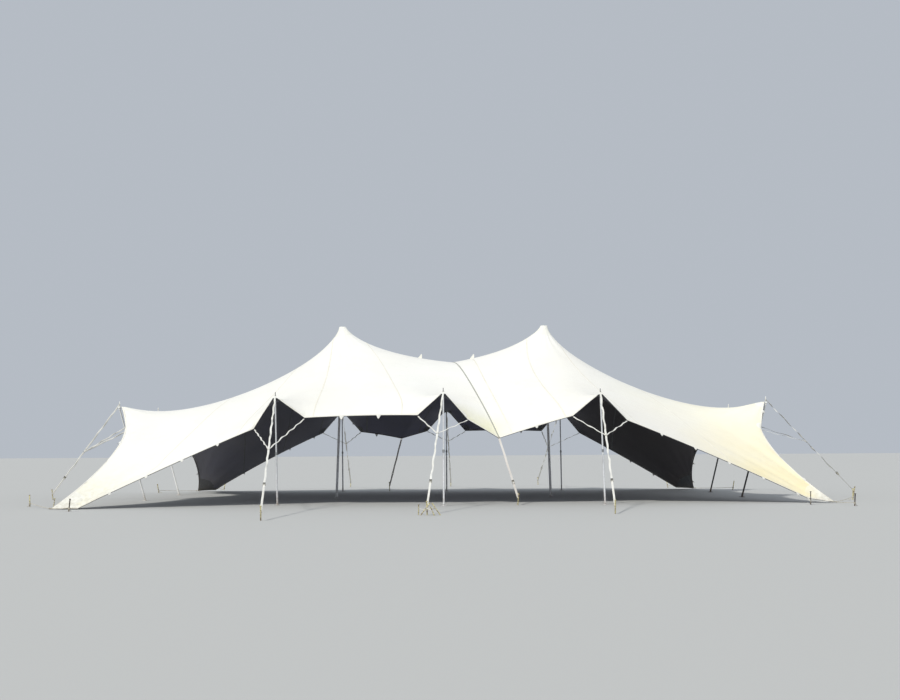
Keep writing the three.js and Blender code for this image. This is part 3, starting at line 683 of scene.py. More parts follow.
hem_cream = tape_material(
    "hem_cream", (0.86, 0.84, 0.78), (0.77, 0.73, 0.64), (0.9, 0.88, 0.8), (0.006, 0.036)
)
hem_grey = tape_material(
    "hem_grey", (0.06, 0.06, 0.07), (0.09, 0.088, 0.085), (0.3, 0.3, 0.29), (0.078, 0.106)
)
hem_points = np.array([cloth_top[node] for node in hem_nodes])
hem_normals = np.array([cloth_normal[node] for node in hem_nodes])
hem_along = unit(np.roll(hem_points, -1, axis=0) - np.roll(hem_points, 1, axis=0))
hem_inward = unit(np.cross(hem_normals, hem_along))
hem_over = unit(np.cross(hem_along, hem_inward))
hem_middle = hem_points - hem_over * CLOTH_THICKNESS / 2
half = CLOTH_THICKNESS / 2 + HEM_TAPE
flap = [(HEM_FLAP, half), (HEM_FLAP / 2, half + 0.0005), (0.002, half + 0.001)]
roll = [
    (-HEM_ROPE_OUT - HEM_ROPE * math.cos(math.radians(a)), HEM_ROPE * math.sin(math.radians(a)))
    for a in range(75, -90, -30)
]
hem_profile = flap + roll + [(across, -over) for across, over in reversed(flap)]
points, faces, flat, _ = swept(hem_middle, hem_profile, hem_inward, hem_over, closed=True)
# The flap's faces are split along the same diagonals as the cloth under them, so that it lies on the cloth
sides = len(hem_profile)
for k, (_, j) in enumerate(hem_nodes):
    on_long_side = j in (0, len(lines_y) - 1) and hem_nodes[(k + 1) % len(hem_nodes)][1] == j
    for e in (0, 1) if on_long_side else (sides - 3, sides - 2):
        face = faces[k * sides + e]
        faces[k * sides + e] = face[1:] + face[:1]
for ring, node in zip(points.reshape(len(hem_nodes), sides, 3), hem_nodes):
    for e, distance, rise in ((0, HEM_FLAP, FLAP_EDGE_RISE), (1, HEM_FLAP / 2, FLAP_MIDDLE_RISE)):
        place, normal, warp = beside_edge(node, distance)
        rise += min(WARP_SHARE * warp, MOST_WARP)
        ring[e] = place + normal * rise
        ring[-1 - e] = place - normal * (CLOTH_THICKNESS + rise)
# The outer flap is cream, and the roll and the inner flap are dark; the dark roll is partly painted shade
which = [int(len(flap) <= e < sides - 1) for _ in hem_nodes for e in range(sides)]
make_piece("hem_binding", [(points, faces, flat, which)], [hem_cream, hem_grey])

# Seams. The nine widths of the canopy are lapped and sewn, and each seam is covered outside and inside
# by a tape 44 mm wide with a row of stitches along both its edges.
SEAM_COLUMNS = [12, 22, 31, 42, 55, 63, 74, 89]
SEAM_HALF, SEAM_TAPE, SEAM_STITCHES = 0.022, 0.0018, (0.011, 0.0465)


def along_column(column, half, side):
    """Line on a face of the cloth along a column of the net, raised until a strip clears the cloth."""
    centre = nearest(lines_x, column)
    line, over = cloth_top[centre], unit(cloth_normal[centre])
    beside = [cloth_top[centre + step] - line for step in (-1, 1)]
    rise = [side * half * (way * over).sum(axis=1) / np.linalg.norm(way, axis=1) for way in beside]
    across = unit(beside[1] - beside[0])
    across = unit(across - over * (across * over).sum(axis=1, keepdims=True))
    start = line - over * (CLOTH_THICKNESS if side < 0 else 0)
    return start + over * (side * np.maximum(np.maximum(*rise), 0))[:, None], across, over * side


def laid_tape(column, side):
    """A tape along one column of the net, on the outer face of the cloth (1) or on the inner face (-1)."""
    start, across, over = along_column(column, SEAM_HALF, side)
    profile = [
        (-SEAM_HALF, -0.003), (-SEAM_HALF, 0.0006), (-SEAM_HALF + 0.0015, SEAM_TAPE), (0, SEAM_TAPE + 0.0006),
        (SEAM_HALF - 0.0015, SEAM_TAPE), (SEAM_HALF, 0.0006), (SEAM_HALF, -0.003),
    ]
    return swept(start, profile, across, over)


seam_cream = tape_material(
    "seam_cream", (0.83, 0.8, 0.72), (0.74, 0.7, 0.6), (0.9, 0.88, 0.82), SEAM_STITCHES
)
seam_grey = tape_material(
    "seam_grey", (0.11, 0.112, 0.12), (0.14, 0.14, 0.135), (0.3, 0.3, 0.29), SEAM_STITCHES
)
for label, side, finish in (("outside", 1, seam_cream), ("inside", -1, seam_grey)):
    make_piece("seam_tapes_" + label, [laid_tape(column, side) for column in SEAM_COLUMNS], [finish])

# Centre poles. Two steel tubes 76 mm across hold the peaks up. Each stands on a round foot plate and
# carries a turned cast cap and a rubber pad that spreads its push over the cloth.
CENTRE_FEET = {"left_centre_pole": (-3.44, -0.12), "right_centre_pole": (3.4, 0.06)}
CENTRE_TUBE, CENTRE_HEAD, CENTRE_SPLIT, FOOT_PLATE = 0.038, 0.084, 0.52, 0.09
UP = np.array([0.0, 0.0, 1.0])


def side_ways(axis):
    """Two ways square to an axis and to each other, the first of them level."""
    axis = unit(axis)
    level = np.cross(axis, UP)
    level = unit(level) if np.linalg.norm(level) > 1e-6 else np.array([1.0, 0.0, 0.0])
    return level, np.cross(level, axis)


def turned(origin, axis, profile, sides=28, which=0):
    """A turned part: radii and heights along an axis, closed at both ends."""
    origin, axis = np.asarray(origin, float), unit(axis)
    first, second = side_ways(axis)
    angles = np.arange(sides) * 2 * math.pi / sides
    ring = np.cos(angles)[:, None] * first + np.sin(angles)[:, None] * -second
    points, flat, run = [], [], 0.0
    for k, (radius, height) in enumerate(profile):
        run += math.dist(profile[k - 1], (radius, height)) if k else 0.0
        points.append(origin + axis * height + ring * radius)
        flat.append(np.stack([np.full(sides, run), angles * max(r for r, _ in profile)], axis=1))
    return np.concatenate(points), skin_faces(len(profile), sides), np.concatenate(flat), which


def ring_of(origin, axis, radius, wire, which=0, stretch=(1.0, 1.0), sides=10, steps=28):
    """A closed ring of round wire about an axis, round or drawn out along its two ways."""
    first, second = side_ways(axis)
    angles = np.arange(steps) * 2 * math.pi / steps
    out = np.cos(angles)[:, None] * first * stretch[0] + np.sin(angles)[:, None] * second * stretch[1]
    path = np.asarray(origin, float) + out * radius
    along = unit(np.roll(path, -1, axis=0) - np.roll(path, 1, axis=0))
    over = np.repeat(unit(axis)[None], steps, axis=0)
    turn = np.arange(sides) * 2 * math.pi / sides
    profile = np.stack([np.cos(turn), np.sin(turn)], axis=1) * wire
    return swept(path, profile, np.cross(over, along), over, closed=True, which=which)


def bolt(origin, axis, radius, length, which=0):
    """A bolt with a six-sided head at one end and a nut at the other."""
    origin, axis = np.asarray(origin, float), unit(axis)
    shank = [(radius * 0.9, 0), (radius, 0.001), (radius, length), (radius * 0.8, length + 0.002)]
    wide = 1.7 * radius
    hexagon = [(wide * 0.86, 0), (wide, 0.12 * wide), (wide, 0.78 * wide), (wide * 0.86, 0.9 * wide)]
    ends = [turned(origin + axis * at, axis, hexagon, 6, which) for at in (0.0, length - 1.4 * radius)]
    return [turned(origin, axis, shank, 12, which), *ends]


def metal(name, light, dark, roughness, soil, splash_height, rust, shine=0.9):
    """Weathered metal: uneven plating, scuffs, rust in spots and towards the ground, and splashed earth."""
    material, tree, shader = new_material(name, light, roughness, shine)
    place, _ = places_on(tree)
    splash, blotch = dirt_on(tree, splash_height, soil)
    spots = maths(tree, "MULTIPLY", speckle(tree, place, 55, 0.52, 0.72), speckle(tree, place, 6, 0.4, 0.7))
    low = maths(tree, "MAXIMUM", maths(tree, "MULTIPLY", splash, 1.2), blotch)
    eaten = maths(tree, "MULTIPLY", maths(tree, "MAXIMUM", spots, low), rust)
    eaten = maths(tree, "MINIMUM", eaten, 1.0)
    colour = blended(tree, speckle(tree, place, 14, 0.3, 0.75), light, dark)
    colour = blended(tree, eaten, colour, (0.2, 0.095, 0.045))
    colour = blended(tree, maths(tree, "MULTIPLY", splash, 0.7), colour, (0.25, 0.2, 0.13))
    bare = maths(tree, "MULTIPLY", maths(tree, "SUBTRACT", 1.0, eaten), shine)
    rough = maths(tree, "MAXIMUM", eaten, speckle(tree, place, 30, 0.35, 0.8))
    rough = ranged(tree, rough, 0.0, 1.0, roughness, min(roughness + 0.3, 0.9))
    pitted = bump(tree, maths(tree, "ADD", noise(tree, place, 160.0, 6.0), eaten), 0.25, 0.0008)
    feed(tree, shader, {"Base Color": colour, "Metallic": bare, "Roughness": rough, "Normal": pitted})
    return material


tube_steel = metal("tube_steel", (0.8, 0.81, 0.82), (0.66, 0.67, 0.69), 0.38, 0.12, 0.45, 0.5, shine=0.25)
cast_steel = metal("cast_steel", (0.42, 0.43, 0.44), (0.31, 0.32, 0.33), 0.46, 0.12, 0.3, 0.6)
dark_steel = metal("dark_steel", (0.2, 0.2, 0.21), (0.11, 0.11, 0.12), 0.42, 0.1, 0.2, 0.5)
rubber, tree, shader = new_material("rubber", (0.035, 0.035, 0.037), 0.7)
place, _ = places_on(tree)
black = blended(tree, speckle(tree, place, 20, 0.35, 0.8), (0.028, 0.028, 0.03), (0.09, 0.085, 0.075))
feed(tree, shader, {"Base Color": black, "Normal": bump(tree, noise(tree, place, 240.0, 4.0), 0.3, 0.0008)})
pole_finishes = [tube_steel, cast_steel, rubber, dark_steel]
TUBE, CAST, RUBBER, DARK = range(len(pole_finishes))


def pole_parts(foot, head, tube, head_radius, split, pin=None):
    """Foot plate, ball joint, two tubes that slide in each other, their clamp, the head and its pin."""
    foot, under = np.array((*foot, 0.0)), np.array(head) - UP * (CLOTH_THICKNESS + 0.0006)
    knee, seat = foot + UP * 0.034, under - UP * 0.032
    axis = unit(seat - knee)
    length = float(np.linalg.norm(seat - knee))
    joint = knee + axis * split * length
    level, _ = side_ways(axis)
    plate = [
        (0.4 * FOOT_PLATE, 0.0003), (FOOT_PLATE - 0.003, 0.0003), (FOOT_PLATE, 0.003), (FOOT_PLATE, 0.008),
        (FOOT_PLATE - 0.003, 0.011), (0.5 * FOOT_PLATE, 0.0125), (0.46 * FOOT_PLATE, 0.02),
        (0.3 * FOOT_PLATE, 0.024),
    ]
    ball = [
        (0.3 * tube, 0.022), (0.75 * tube, 0.026), (0.98 * tube, 0.036), (0.98 * tube, 0.044),
        (0.75 * tube, 0.056), (0.3 * tube, 0.06),
    ]
    lower_tube = [
        (0.7 * tube, 0.004), (tube + 0.004, 0.008), (tube + 0.004, 0.05), (tube + 0.001, 0.056),
        (tube, 0.06), (tube, split * length),
    ]
    collar = [
        (tube, -0.075), (tube + 0.005, -0.073), (tube + 0.005, -0.045), (tube + 0.002, -0.042),
        (tube + 0.002, -0.02), (tube + 0.005, -0.017), (tube + 0.005, 0.004), (tube - 0.003, 0.008),
    ]
    upper_tube = [(tube - 0.004, -0.01), (tube - 0.004, (1 - split) * length)]
    cap = [(tube - 0.004, -0.05), (tube + 0.003, -0.046), (tube + 0.003, -0.012), (tube - 0.002, -0.006)]
    pad = [
        (0.4 * head_radius, -0.04), (0.72 * head_radius, -0.038), (0.97 * head_radius, -0.022),
        (head_radius, -0.014), (0.97 * head_radius, -0.005), (0.85 * head_radius, 0.0),
    ]
    parts = [
        turned(foot, UP, plate, 36, TUBE),
        turned(foot, UP, ball, 24, TUBE),
        turned(knee, axis, lower_tube, 32, TUBE),
        turned(joint, axis, collar, 32, CAST),
        turned(joint, axis, upper_tube, 32, TUBE),
        turned(seat - axis * 0.004, axis, cap, 32, CAST),
        turned(under, UP, pad, 36, RUBBER),
    ]
    clamp = knee + axis * (split * length - 0.031)
    parts += bolt(clamp - level * (tube + 0.014), level, 0.005, 2 * tube + 0.03, CAST)
    parts.append(ring_of(knee + axis * (split * length - 0.16), level, 0.02, 0.002, CAST))
    stop = knee + axis * (split * length - 0.14)
    parts += bolt(stop - level * (tube + 0.008), level, 0.004, 2 * tube + 0.018, CAST)
    if pin:
        eyelet = [
            (0.028, -0.0075), (0.036, -0.0073), (0.037, -0.006),
            (0.037, 0.0016), (0.035, 0.003), (0.014, 0.0034),
        ]
        spike = [
            (0.0095, -0.03), (0.0095, pin - 0.014), (0.0085, pin - 0.006), (0.006, pin - 0.001),
            (0.002, pin),
        ]
        washer = [(0.012, 0.082), (0.017, 0.083), (0.017, 0.088), (0.012, 0.089)]
        parts.append(turned(head, UP, eyelet, 28, CAST))
        parts.append(turned(head, UP, spike, 20, DARK))
        parts.append(turned(head, UP, washer, 18, DARK))
    return parts


for (name, foot), head in zip(CENTRE_FEET.items(), PEAKS.values()):
    parts = pole_parts(foot, (*head, PEAK_HEIGHT), CENTRE_TUBE, CENTRE_HEAD, CENTRE_SPLIT)
    piece = make_piece(name + "_tube", parts, pole_finishes, sharp=35)
    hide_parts(name)

# Edge poles. Ten lighter tubes, 50 mm across, hold the hem up. A steel pin on each head comes through
# an eyelet in the cloth, and the guy's ring drops over the pin.
EDGE_TUBE, EDGE_HEAD, EDGE_SPLIT, PIN = 0.025, 0.045, 0.5, 0.17
LONG_PIN, LONG_PINS = 0.25, ("left_rear", "right_rear")
# The four end poles are painted white up to the pin, but for the plates, balls and lower tubes, the first
# three parts, of the right-hand pair, which are near black as painted shade for the canopy's shadow they
# stand in
LOWER_PARTS = 3
white_paint = metal("white_paint", (0.93, 0.93, 0.91), (0.84, 0.84, 0.82), 0.5, 0.1, 0.3, 0.35, shine=0.05)
painted_shade_dark = metal("painted_shade_dark", (0.06, 0.06, 0.062), (0.035, 0.035, 0.038), 0.5, 0.12, 0.3, 0.4, shine=0.05)
for name, side, _, _, _, foot in EDGE_POLES:
    pin = LONG_PIN if name in LONG_PINS else PIN
    parts = pole_parts(foot, POLE_HEADS[name], EDGE_TUBE, EDGE_HEAD, EDGE_SPLIT, pin)
    finishes = pole_finishes
    if side in ("left", "right"):
        finishes = [white_paint, painted_shade_dark]
        parts = [(*part[:3], int(side == "right" and k < LOWER_PARTS)) for k, part in enumerate(parts)]
    piece = make_piece(name + "_tube", parts, finishes, sharp=35)
    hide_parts(name + "_pole")

# Stakes. Round steel bars driven in beside the tent, leaning away from their pull. Their heads have
# mushroomed under the hammer, and the steel is rusty, with earth on it and old yellow paint.
STAKE, STAKE_LENGTH, STAKE_LEAN, STAKE_SIDES, BEATEN_FROM = 0.015, 0.33, 0.22, 20, 5
GUY_ANCHORS = {
    "front_left": (-3.9, -10.85), "front_middle": (-0.35, -9.25), "front_right": (4.0, -9.2),
    "rear_left": (-3.9, 9.3), "rear_middle": (0.2, 9.25), "rear_right": (3.9, 10.85),
    "left_front": (-12.33, -0.5), "left_rear": (-12.33, 3.3),
    "right_front": (12.327, -1.9), "right_rear": (12.33, 3.3),
}
CORNER_ANCHORS = {
    "front_left": ((-9.45, -7.0), (-11.4, -4.6)), "front_right": ((10.55, -6.6), (11.7, -3.5)),
    "rear_left": ((-8.55, 6.85), (-10.4, 4.5)), "rear_right": ((8.5, 6.5), (10.35, 4.2)),
}
SADDLE_ANCHORS = {"front": (2.0, -5.25), "rear": (-2.05, 5.1)}
# Two of the stakes, near the front corners, are dark bare steel, painted dark as shade
SHADE_DARK_STAKES = ("front_left_corner_stake_1", "front_right_corner_stake_1")


def stake_lean(pull):
    """Which way a stake leans, away from its pull."""
    level = -np.array((pull[0], pull[1], 0.0))
    return unit(unit(level) * STAKE_LEAN + UP)


def on_stake(anchor, lean, length):
    """The point on a stake's axis at a length from the ground."""
    return np.array((*anchor, 0.0)) + lean * length


def stake_part(anchor, lean, seed, radius=STAKE, length=STAKE_LENGTH, which=0):
    """A driven bar whose head is beaten out of round."""
    rng = np.random.default_rng(seed)
    profile = [
        (radius * 0.98, 0.6 * radius * STAKE_LEAN), (radius, 0.03), (radius, 0.5 * length),
        (radius, length - 0.03), (radius * 1.06, length - 0.02), (radius * 1.45, length - 0.014),
        (radius * 1.66, length - 0.008), (radius * 1.6, length - 0.002), (radius * 1.1, length),
    ]
    points, faces, flat, _ = turned((*anchor, 0.0), lean, profile, STAKE_SIDES)
    shape = points.reshape(len(profile), STAKE_SIDES, 3)
    angles = np.arange(STAKE_SIDES) * 2 * math.pi / STAKE_SIDES
    burr = 0.09 * np.sin(3 * angles + rng.uniform(0, 6)) + 0.05 * np.sin(7 * angles + rng.uniform(0, 6))
    for ring in shape[BEATEN_FROM:]:
        centre = ring.mean(axis=0)
        ring[:] = centre + (ring - centre) * (1 + burr)[:, None]
    shape[..., 2] = np.maximum(shape[..., 2], 0.0003)
    return points, faces, flat, which


stake_steel, tree, shader = new_material("stake_steel", (0.2, 0.17, 0.14), 0.6, 0.5)
place, _ = places_on(tree)
splash, blotch = dirt_on(tree, 0.3, 0.4)
paint = maths(tree, "MULTIPLY", speckle(tree, place, 22, 0.42, 0.5), speckle(tree, place, 90, 0.3, 0.42))
bar = blended(tree, speckle(tree, place, 40, 0.35, 0.7), (0.16, 0.1, 0.065), (0.3, 0.27, 0.24))
bar = blended(tree, paint, bar, (0.78, 0.71, 0.38))
bar = blended(tree, maths(tree, "MAXIMUM", blotch, splash), bar, (0.22, 0.17, 0.11))
scaly = bump(tree, maths(tree, "ADD", noise(tree, place, 120.0, 6.0), paint), 0.5, 0.0015)
feed(tree, shader, {"Base Color": bar, "Normal": scaly})
shade_dark_steel = metal("shade_dark_steel", (0.1, 0.085, 0.075), (0.06, 0.05, 0.045), 0.6, 0.2, 0.2, 0.5, shine=0.3)

stakes = {}
for name, anchor in GUY_ANCHORS.items():
    stakes[name + "_stake"] = (anchor, stake_lean(POLE_HEADS[name][:2] - np.array(anchor)))
for name, anchors in CORNER_ANCHORS.items():
    for k, anchor in enumerate(anchors):
        pull = np.array(CORNERS[name][2][:2]) - np.array(anchor)
        stakes[f"{name}_corner_stake_{k + 1}"] = (anchor, stake_lean(pull))
for (name, anchor), low, inward in zip(SADDLE_ANCHORS.items(), SADDLE_LOWS.values(), (1, -1)):
    pull = np.array(low[:2]) - np.array(anchor) + np.array((0, inward))
    stakes[name + "_saddle_stake"] = (anchor, stake_lean(pull))
for k, (name, (anchor, lean)) in enumerate(stakes.items()):
    finish = shade_dark_steel if name in SHADE_DARK_STAKES else stake_steel
    piece = make_piece(name + "_bar", [stake_part(anchor, lean, 60 + k)], [finish], sharp=50)
    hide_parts(name)

# Guys. A strap of 50 mm webbing runs from a ring on the pole's pin to a ratchet and on to a sling round
# the stake. Two lighter straps, its bridle, run from a ring on it to the hem at both sides of the pole.
STRAP_WIDTH, STRAP_THICKNESS, BRIDLE_WIDTH = 0.048, 0.0032, 0.037
BRIDLE_SHARES = {
    "front_left": 0.52, "front_middle": 0.4, "front_right": 0.42,
    "rear_left": 0.44, "rear_middle": 0.42, "rear_right": 0.5,
    "left_front": 0.52, "left_rear": 0.48, "right_front": 0.46, "right_rear": 0.48,
}
RATCHET_SHARE, RATCHET_SPOOL, SEWN_LENGTH, TWIST_PERIOD, STRAP_STEP = 0.8, 0.088, 0.12, 0.85, 0.045
# The end of a strap goes round its ring and back on itself: how far off its face and on from the ring each
# point lies, and which way its face looks there, as shares of those two ways
FOLD_BACK = [
    (0.004, SEWN_LENGTH, 1, 0), (0.0045, 0.03, 1, 0), (0.007, 0.008, 1, -0.5), (0.007, -0.003, 1, -1),
    (0, -0.0095, 0, -1), (-0.007, -0.003, -1, -1), (-0.005, 0.012, -1, 0.2), (-0.001, 0.03, -1, 0),
]
# The ring of a guy hangs over the pin, and its sling goes round the stake
PIN_RING_HEIGHT, SLING_HEIGHT, SLING_RADIUS = 0.07, 0.1875, STAKE + 0.006
LONG_PIN_TURNS, TURN_STEP = 4, 0.033


def strap_profile(width, thickness=STRAP_THICKNESS):
    """Section of a strap: flat, with soft edges."""
    side, edge, face = width / 2, thickness * 0.6, thickness / 2
    return [
        (-side, 0), (-side + edge, face), (0, thickness * 0.55), (side - edge, face),
        (side, 0), (side - edge, -face), (0, -thickness * 0.55), (-side + edge, -face),
    ]


def strap_run(path, over, widths, which=0, thickness=STRAP_THICKNESS):
    """A strap along a path, of one width or one for each point, its face turned to a way given there."""
    path, over = np.asarray(path, float), np.asarray(over, float)
    along = unit(np.gradient(path, axis=0))
    over = unit(over - along * (over * along).sum(axis=1, keepdims=True))
    profiles = [strap_profile(width, thickness) for width in np.broadcast_to(widths, len(path))]
    return swept(path, profiles, np.cross(over, along), over, which=which)


def twisted_strap(start, end, width, facing, turns, seed, which=0, flutter=0.009, twist=1.0):
    """A strap between two points, sewn back on itself at both, that rolls and flutters on its way."""
    rng = np.random.default_rng(seed)
    along = unit(end - start)
    first = unit(np.asarray(facing, float) - along * np.dot(facing, along))
    second = np.cross(along, first)
    length = float(np.linalg.norm(end - start))
    share = np.linspace(0, 1, max(int(length / STRAP_STEP), 8) + 1)
    ease = np.clip((share * length - SEWN_LENGTH) / (length - 2 * SEWN_LENGTH), 0, 1)
    waves = 2 * math.pi * length / TWIST_PERIOD
    wander = 0.55 * np.sin(waves * ease + rng.uniform(0, 6))
    wander += 0.35 * np.sin(1.7 * waves * ease + rng.uniform(0, 6))
    angle = math.pi * turns * ease + twist * wander * np.clip(4 * np.sin(math.pi * ease), 0, 1)
    over = np.cos(angle)[:, None] * first + np.sin(angle)[:, None] * second
    path = start + along * (share * length)[:, None]
    bow = np.sqrt(np.sin(math.pi * share))
    for way, phase in ((first, rng.uniform(0, 6)), (second, rng.uniform(0, 6))):
        path = path + way * (flutter * bow * np.sin(1.3 * waves * share + phase))[:, None]
    parts = [strap_run(path, over, width, which)]
    for at, way, face in ((start, along, over[0]), (end, -along, over[-1])):
        fold = [at + face * off + way * on for off, on, _, _ in FOLD_BACK]
        turn = [face * off + way * on for _, _, off, on in FOLD_BACK]
        parts.append(strap_run(fold, turn, width * 0.98, which, 0.9 * STRAP_THICKNESS))
    return parts


def plate_part(outline, frame, thickness, which=0):
    """A flat plate cut to an outline: its frame is origin, the outline's two ways, and the plate's own."""
    origin, first, second, third = (np.asarray(v, float) for v in frame)
    inset, centre = 0.0006, np.mean(outline, axis=0)
    layers = []
    for height, shrink in ((0, inset), (inset, 0), (thickness - inset, 0), (thickness, inset)):
        ring = np.asarray(outline, float)
        ring = ring - unit(ring - centre) * shrink
        layers.append(origin + first * ring[:, :1] + second * ring[:, 1:] + third * height)
    points = np.concatenate(layers)
    return points, skin_faces(len(layers), len(outline)), np.zeros((len(points), 2)), which


def round_outline(circles, steps=10):
    """Outline round two circles: centre along, centre up and radius of each."""
    points = []
    for (x, y, radius), (start, stop) in zip(circles, ((90, 270), (-90, 90))):
        for a in np.radians(np.linspace(start, stop, steps)):
            points.append((x + radius * math.cos(a), y + radius * math.sin(a)))
    return points


webbing_white = tape_material(
    "webbing_white", (0.8, 0.79, 0.75), (0.68, 0.66, 0.6), (0.86, 0.85, 0.8), (0.006, 0.044), soil=0.4
)
zinc = metal("zinc", (0.55, 0.52, 0.42), (0.42, 0.4, 0.34), 0.38, 0.1, 0.25, 0.5)
strap_finishes = [webbing_white, zinc, rubber]
WEBBING, ZINC, GRIP = range(len(strap_finishes))


def ratchet_parts(origin, along, face, width=0.06):
    """A ratchet for 50 mm webbing: side plates, handle, spool with the strap on it, and its bars."""
    across = np.cross(face, along)

    def at(a, b, c=0.0):
        return origin + along * a + face * b + across * c

    def crossbar(a, b, reach, profile, sides, which):
        return turned(at(a, b, -reach * width), across, profile, sides, which)

    side_plate = round_outline([(0.016, 0.0, 0.013), (RATCHET_SPOOL, 0.006, 0.02)])
    handle_plate = round_outline([(0.012, 0.024, 0.009), (RATCHET_SPOOL, 0.008, 0.018)])
    teeth = [(0.0215 if k % 2 else 0.0165, 2 * math.pi * k / 26) for k in range(26)]
    gear = [(RATCHET_SPOOL + radius * math.cos(a), 0.007 + radius * math.sin(a)) for radius, a in teeth]
    plates = ((side_plate, 1, 0.0028), (handle_plate, 0.86, 0.0024), (gear, 0.93, 0.0026))
    parts = []
    for side in (-1, 1):
        for outline, share, thickness in plates:
            corner = at(0, 0, side * width / 2 * share)
            parts.append(plate_part(outline, (corner, along, face, across), thickness, ZINC))
    bars = ((0.012, 0.0, 0.006, 0.5), (RATCHET_SPOOL, 0.007, 0.0085, 0.55), (0.05, 0.004, 0.004, 0.5))
    for a, b, radius, reach in bars:
        long = 2 * reach * width
        profile = [(radius * 0.8, 0), (radius, 0.001), (radius, long - 0.001), (radius * 0.8, long)]
        parts.append(crossbar(a, b, reach, profile, 14, ZINC))
    grip = [(0.005, 0), (0.0095, 0.002), (0.0095, width - 0.002), (0.005, width)]
    parts.append(crossbar(0.012, 0.028, 0.5, grip, 16, GRIP))
    pawl = [(-0.02, -0.022), (0.014, -0.022), (0.014, 0.022), (-0.02, 0.022)]
    parts.append(plate_part(pawl, (at(0.045, 0.018), along, across, face), 0.002, ZINC))
    wound_strap = [(0.0085, -0.024), (0.0165, -0.0235), (0.0165, 0.0235), (0.0085, 0.024)]
    parts.append(crossbar(RATCHET_SPOOL, 0.007, 0, wound_strap, 20, WEBBING))
    return parts


def hem_hold(side, index):
    """Where a bridle's ring hangs on the hem, and the way that it is pulled out of the cloth's edge."""
    column, row = net_place(side, index)
    k = hem_nodes.index((nearest(lines_x, column), nearest(lines_y, row)))
    return hem_middle[k], -hem_inward[k]


hem_rings = []
for k, (name, side, index, *_) in enumerate(EDGE_POLES):
    head = POLE_HEADS[name]
    anchor, lean = stakes[name + "_stake"]
    ring_at = head + UP * PIN_RING_HEIGHT
    eye = on_stake(anchor, lean, SLING_HEIGHT)
    way = unit(eye - ring_at)
    start, end = ring_at + way * 0.024, eye - way * 0.03
    junction = start + (end - start) * BRIDLE_SHARES[name]
    ratchet = start + (end - start) * RATCHET_SHARE
    _, over = side_ways(way)
    over = over if over[2] > 0 else -over
    turns, twist = (0, 0.8) if side == "front" else (k % 2, 1.0)
    if side == "left":
        # These straps show their flat side to the front
        over, turns, twist = unit(np.array((0, -1, 0)) + way * way[1]), 0, 0.45
    parts = [ring_of(ring_at, unit(UP + 0.35 * way), 0.02, 0.0045, ZINC)]
    parts.append(ring_of(junction, unit(over), 0.03, 0.005, ZINC))
    parts += twisted_strap(start, junction - way * 0.03, STRAP_WIDTH, over, turns, 100 + k, twist=twist)
    first, last = junction + way * 0.03, ratchet + way * 0.012
    parts += twisted_strap(first, last, STRAP_WIDTH, over, turns, 120 + k, twist=twist)
    parts += ratchet_parts(ratchet, way, over)
    first, last = ratchet + way * RATCHET_SPOOL, end + way * 0.012
    parts += twisted_strap(first, last, STRAP_WIDTH, over, 0, 140 + k, flutter=0.001, twist=0.1)
    parts.append(ring_of(eye, lean, SLING_RADIUS, 0.0055, ZINC))
    for m, cell in enumerate(BRIDLE_HOLDS[name][0]):
        edge, out = hem_hold(side, index + cell)
        hem_rings.append(edge)
        hold = edge + out * 0.05
        leg = unit(junction - hold)
        parts.append(ring_of(hold, unit(np.cross(leg, UP)), 0.02, 0.004, ZINC))
        first, last = hold + leg * 0.018, junction - leg * 0.028
        parts += twisted_strap(first, last, BRIDLE_WIDTH, over, 0, 160 + 2 * k + m, twist=0.4)
    if side in ("left", "right"):
        # The strap's spare end is wound round the pin above its ring
        for turn in range(LONG_PIN_TURNS if name in LONG_PINS else 1):
            low, slant = head + UP * (0.105 + TURN_STEP * turn), UP + 0.06 * np.array(((-1) ** turn, 0, 0))
            coil = [(0.011, 0), (0.016, 0.001), (0.0175, 0.016), (0.016, 0.034), (0.011, 0.035)]
            parts.append(turned(low, unit(slant), coil, 20, WEBBING))
    piece = make_piece(name + "_straps", parts, strap_finishes, sharp=45)
    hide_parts(name + "_guy")

# Pin ties. At the end poles the cloth stops short of the pole, and a strap sewn on it ties it to a ring on
# the pole's pin.
PIN_TIE_STEPS, PIN_TIE_RISE, PIN_TIE_WIDTH = [1.5, 1.25, 1.0, 0.75, 0.5, 0.25, 0.1], 0.0045, 0.05
for name in CLOTH_INSET:
    _, side, index, *_ = next(pole for pole in EDGE_POLES if pole[0] == name)
    column, row = net_place(side, index, np.array(PIN_TIE_STEPS))
    sewn, normals = cloth_point(column, row, PIN_TIE_RISE)
    out = np.array(SIDE_WAYS[side][1], float)
    ring_at = POLE_HEADS[name] + UP * 0.044 - out * 0.022
    lip = sewn[-1] + out * 0.03 + UP * 0.004
    path = np.concatenate([sewn, [lip, lip * 0.5 + ring_at * 0.5, ring_at]])
    over = np.concatenate([normals, [unit(UP - 0.4 * out), unit(UP - 0.7 * out), unit(UP - 0.7 * out)]])
    ring = ring_of(ring_at + out * 0.014, UP - 0.7 * out, 0.019, 0.004, ZINC)
    parts = [strap_run(path, over, PIN_TIE_WIDTH, WEBBING), ring]
    make_piece(name + "_pin_tie", parts, [webbing_white, zinc], sharp=45)

# Patches. Where the cloth is held, rounds of doubled cloth are sewn on both its faces with rings of
# stitches: at the peaks, the pole heads, the bridles and the corners.
PATCH_RISE, PATCH_SPOKES, PATCH_STITCHES = 0.003, 44, (0.09, 0.105)
PATCH_SHARES = np.array([0.0, 0.12, 0.3, 0.5, 0.7, 0.86, 0.97, 1.0])[:, None]
PEAK_PATCH, POLE_PATCH, BRIDLE_PATCH, CORNER_PATCH = 0.42, 0.24, 0.13, 0.48
# How many steps of the net in from the edge the patches' middles lie
POLE_PATCH_IN, BRIDLE_PATCH_IN, CORNER_PATCH_IN = 1, 0.3, 0.8
MOST_REACH, HALVINGS = 14.0, 14


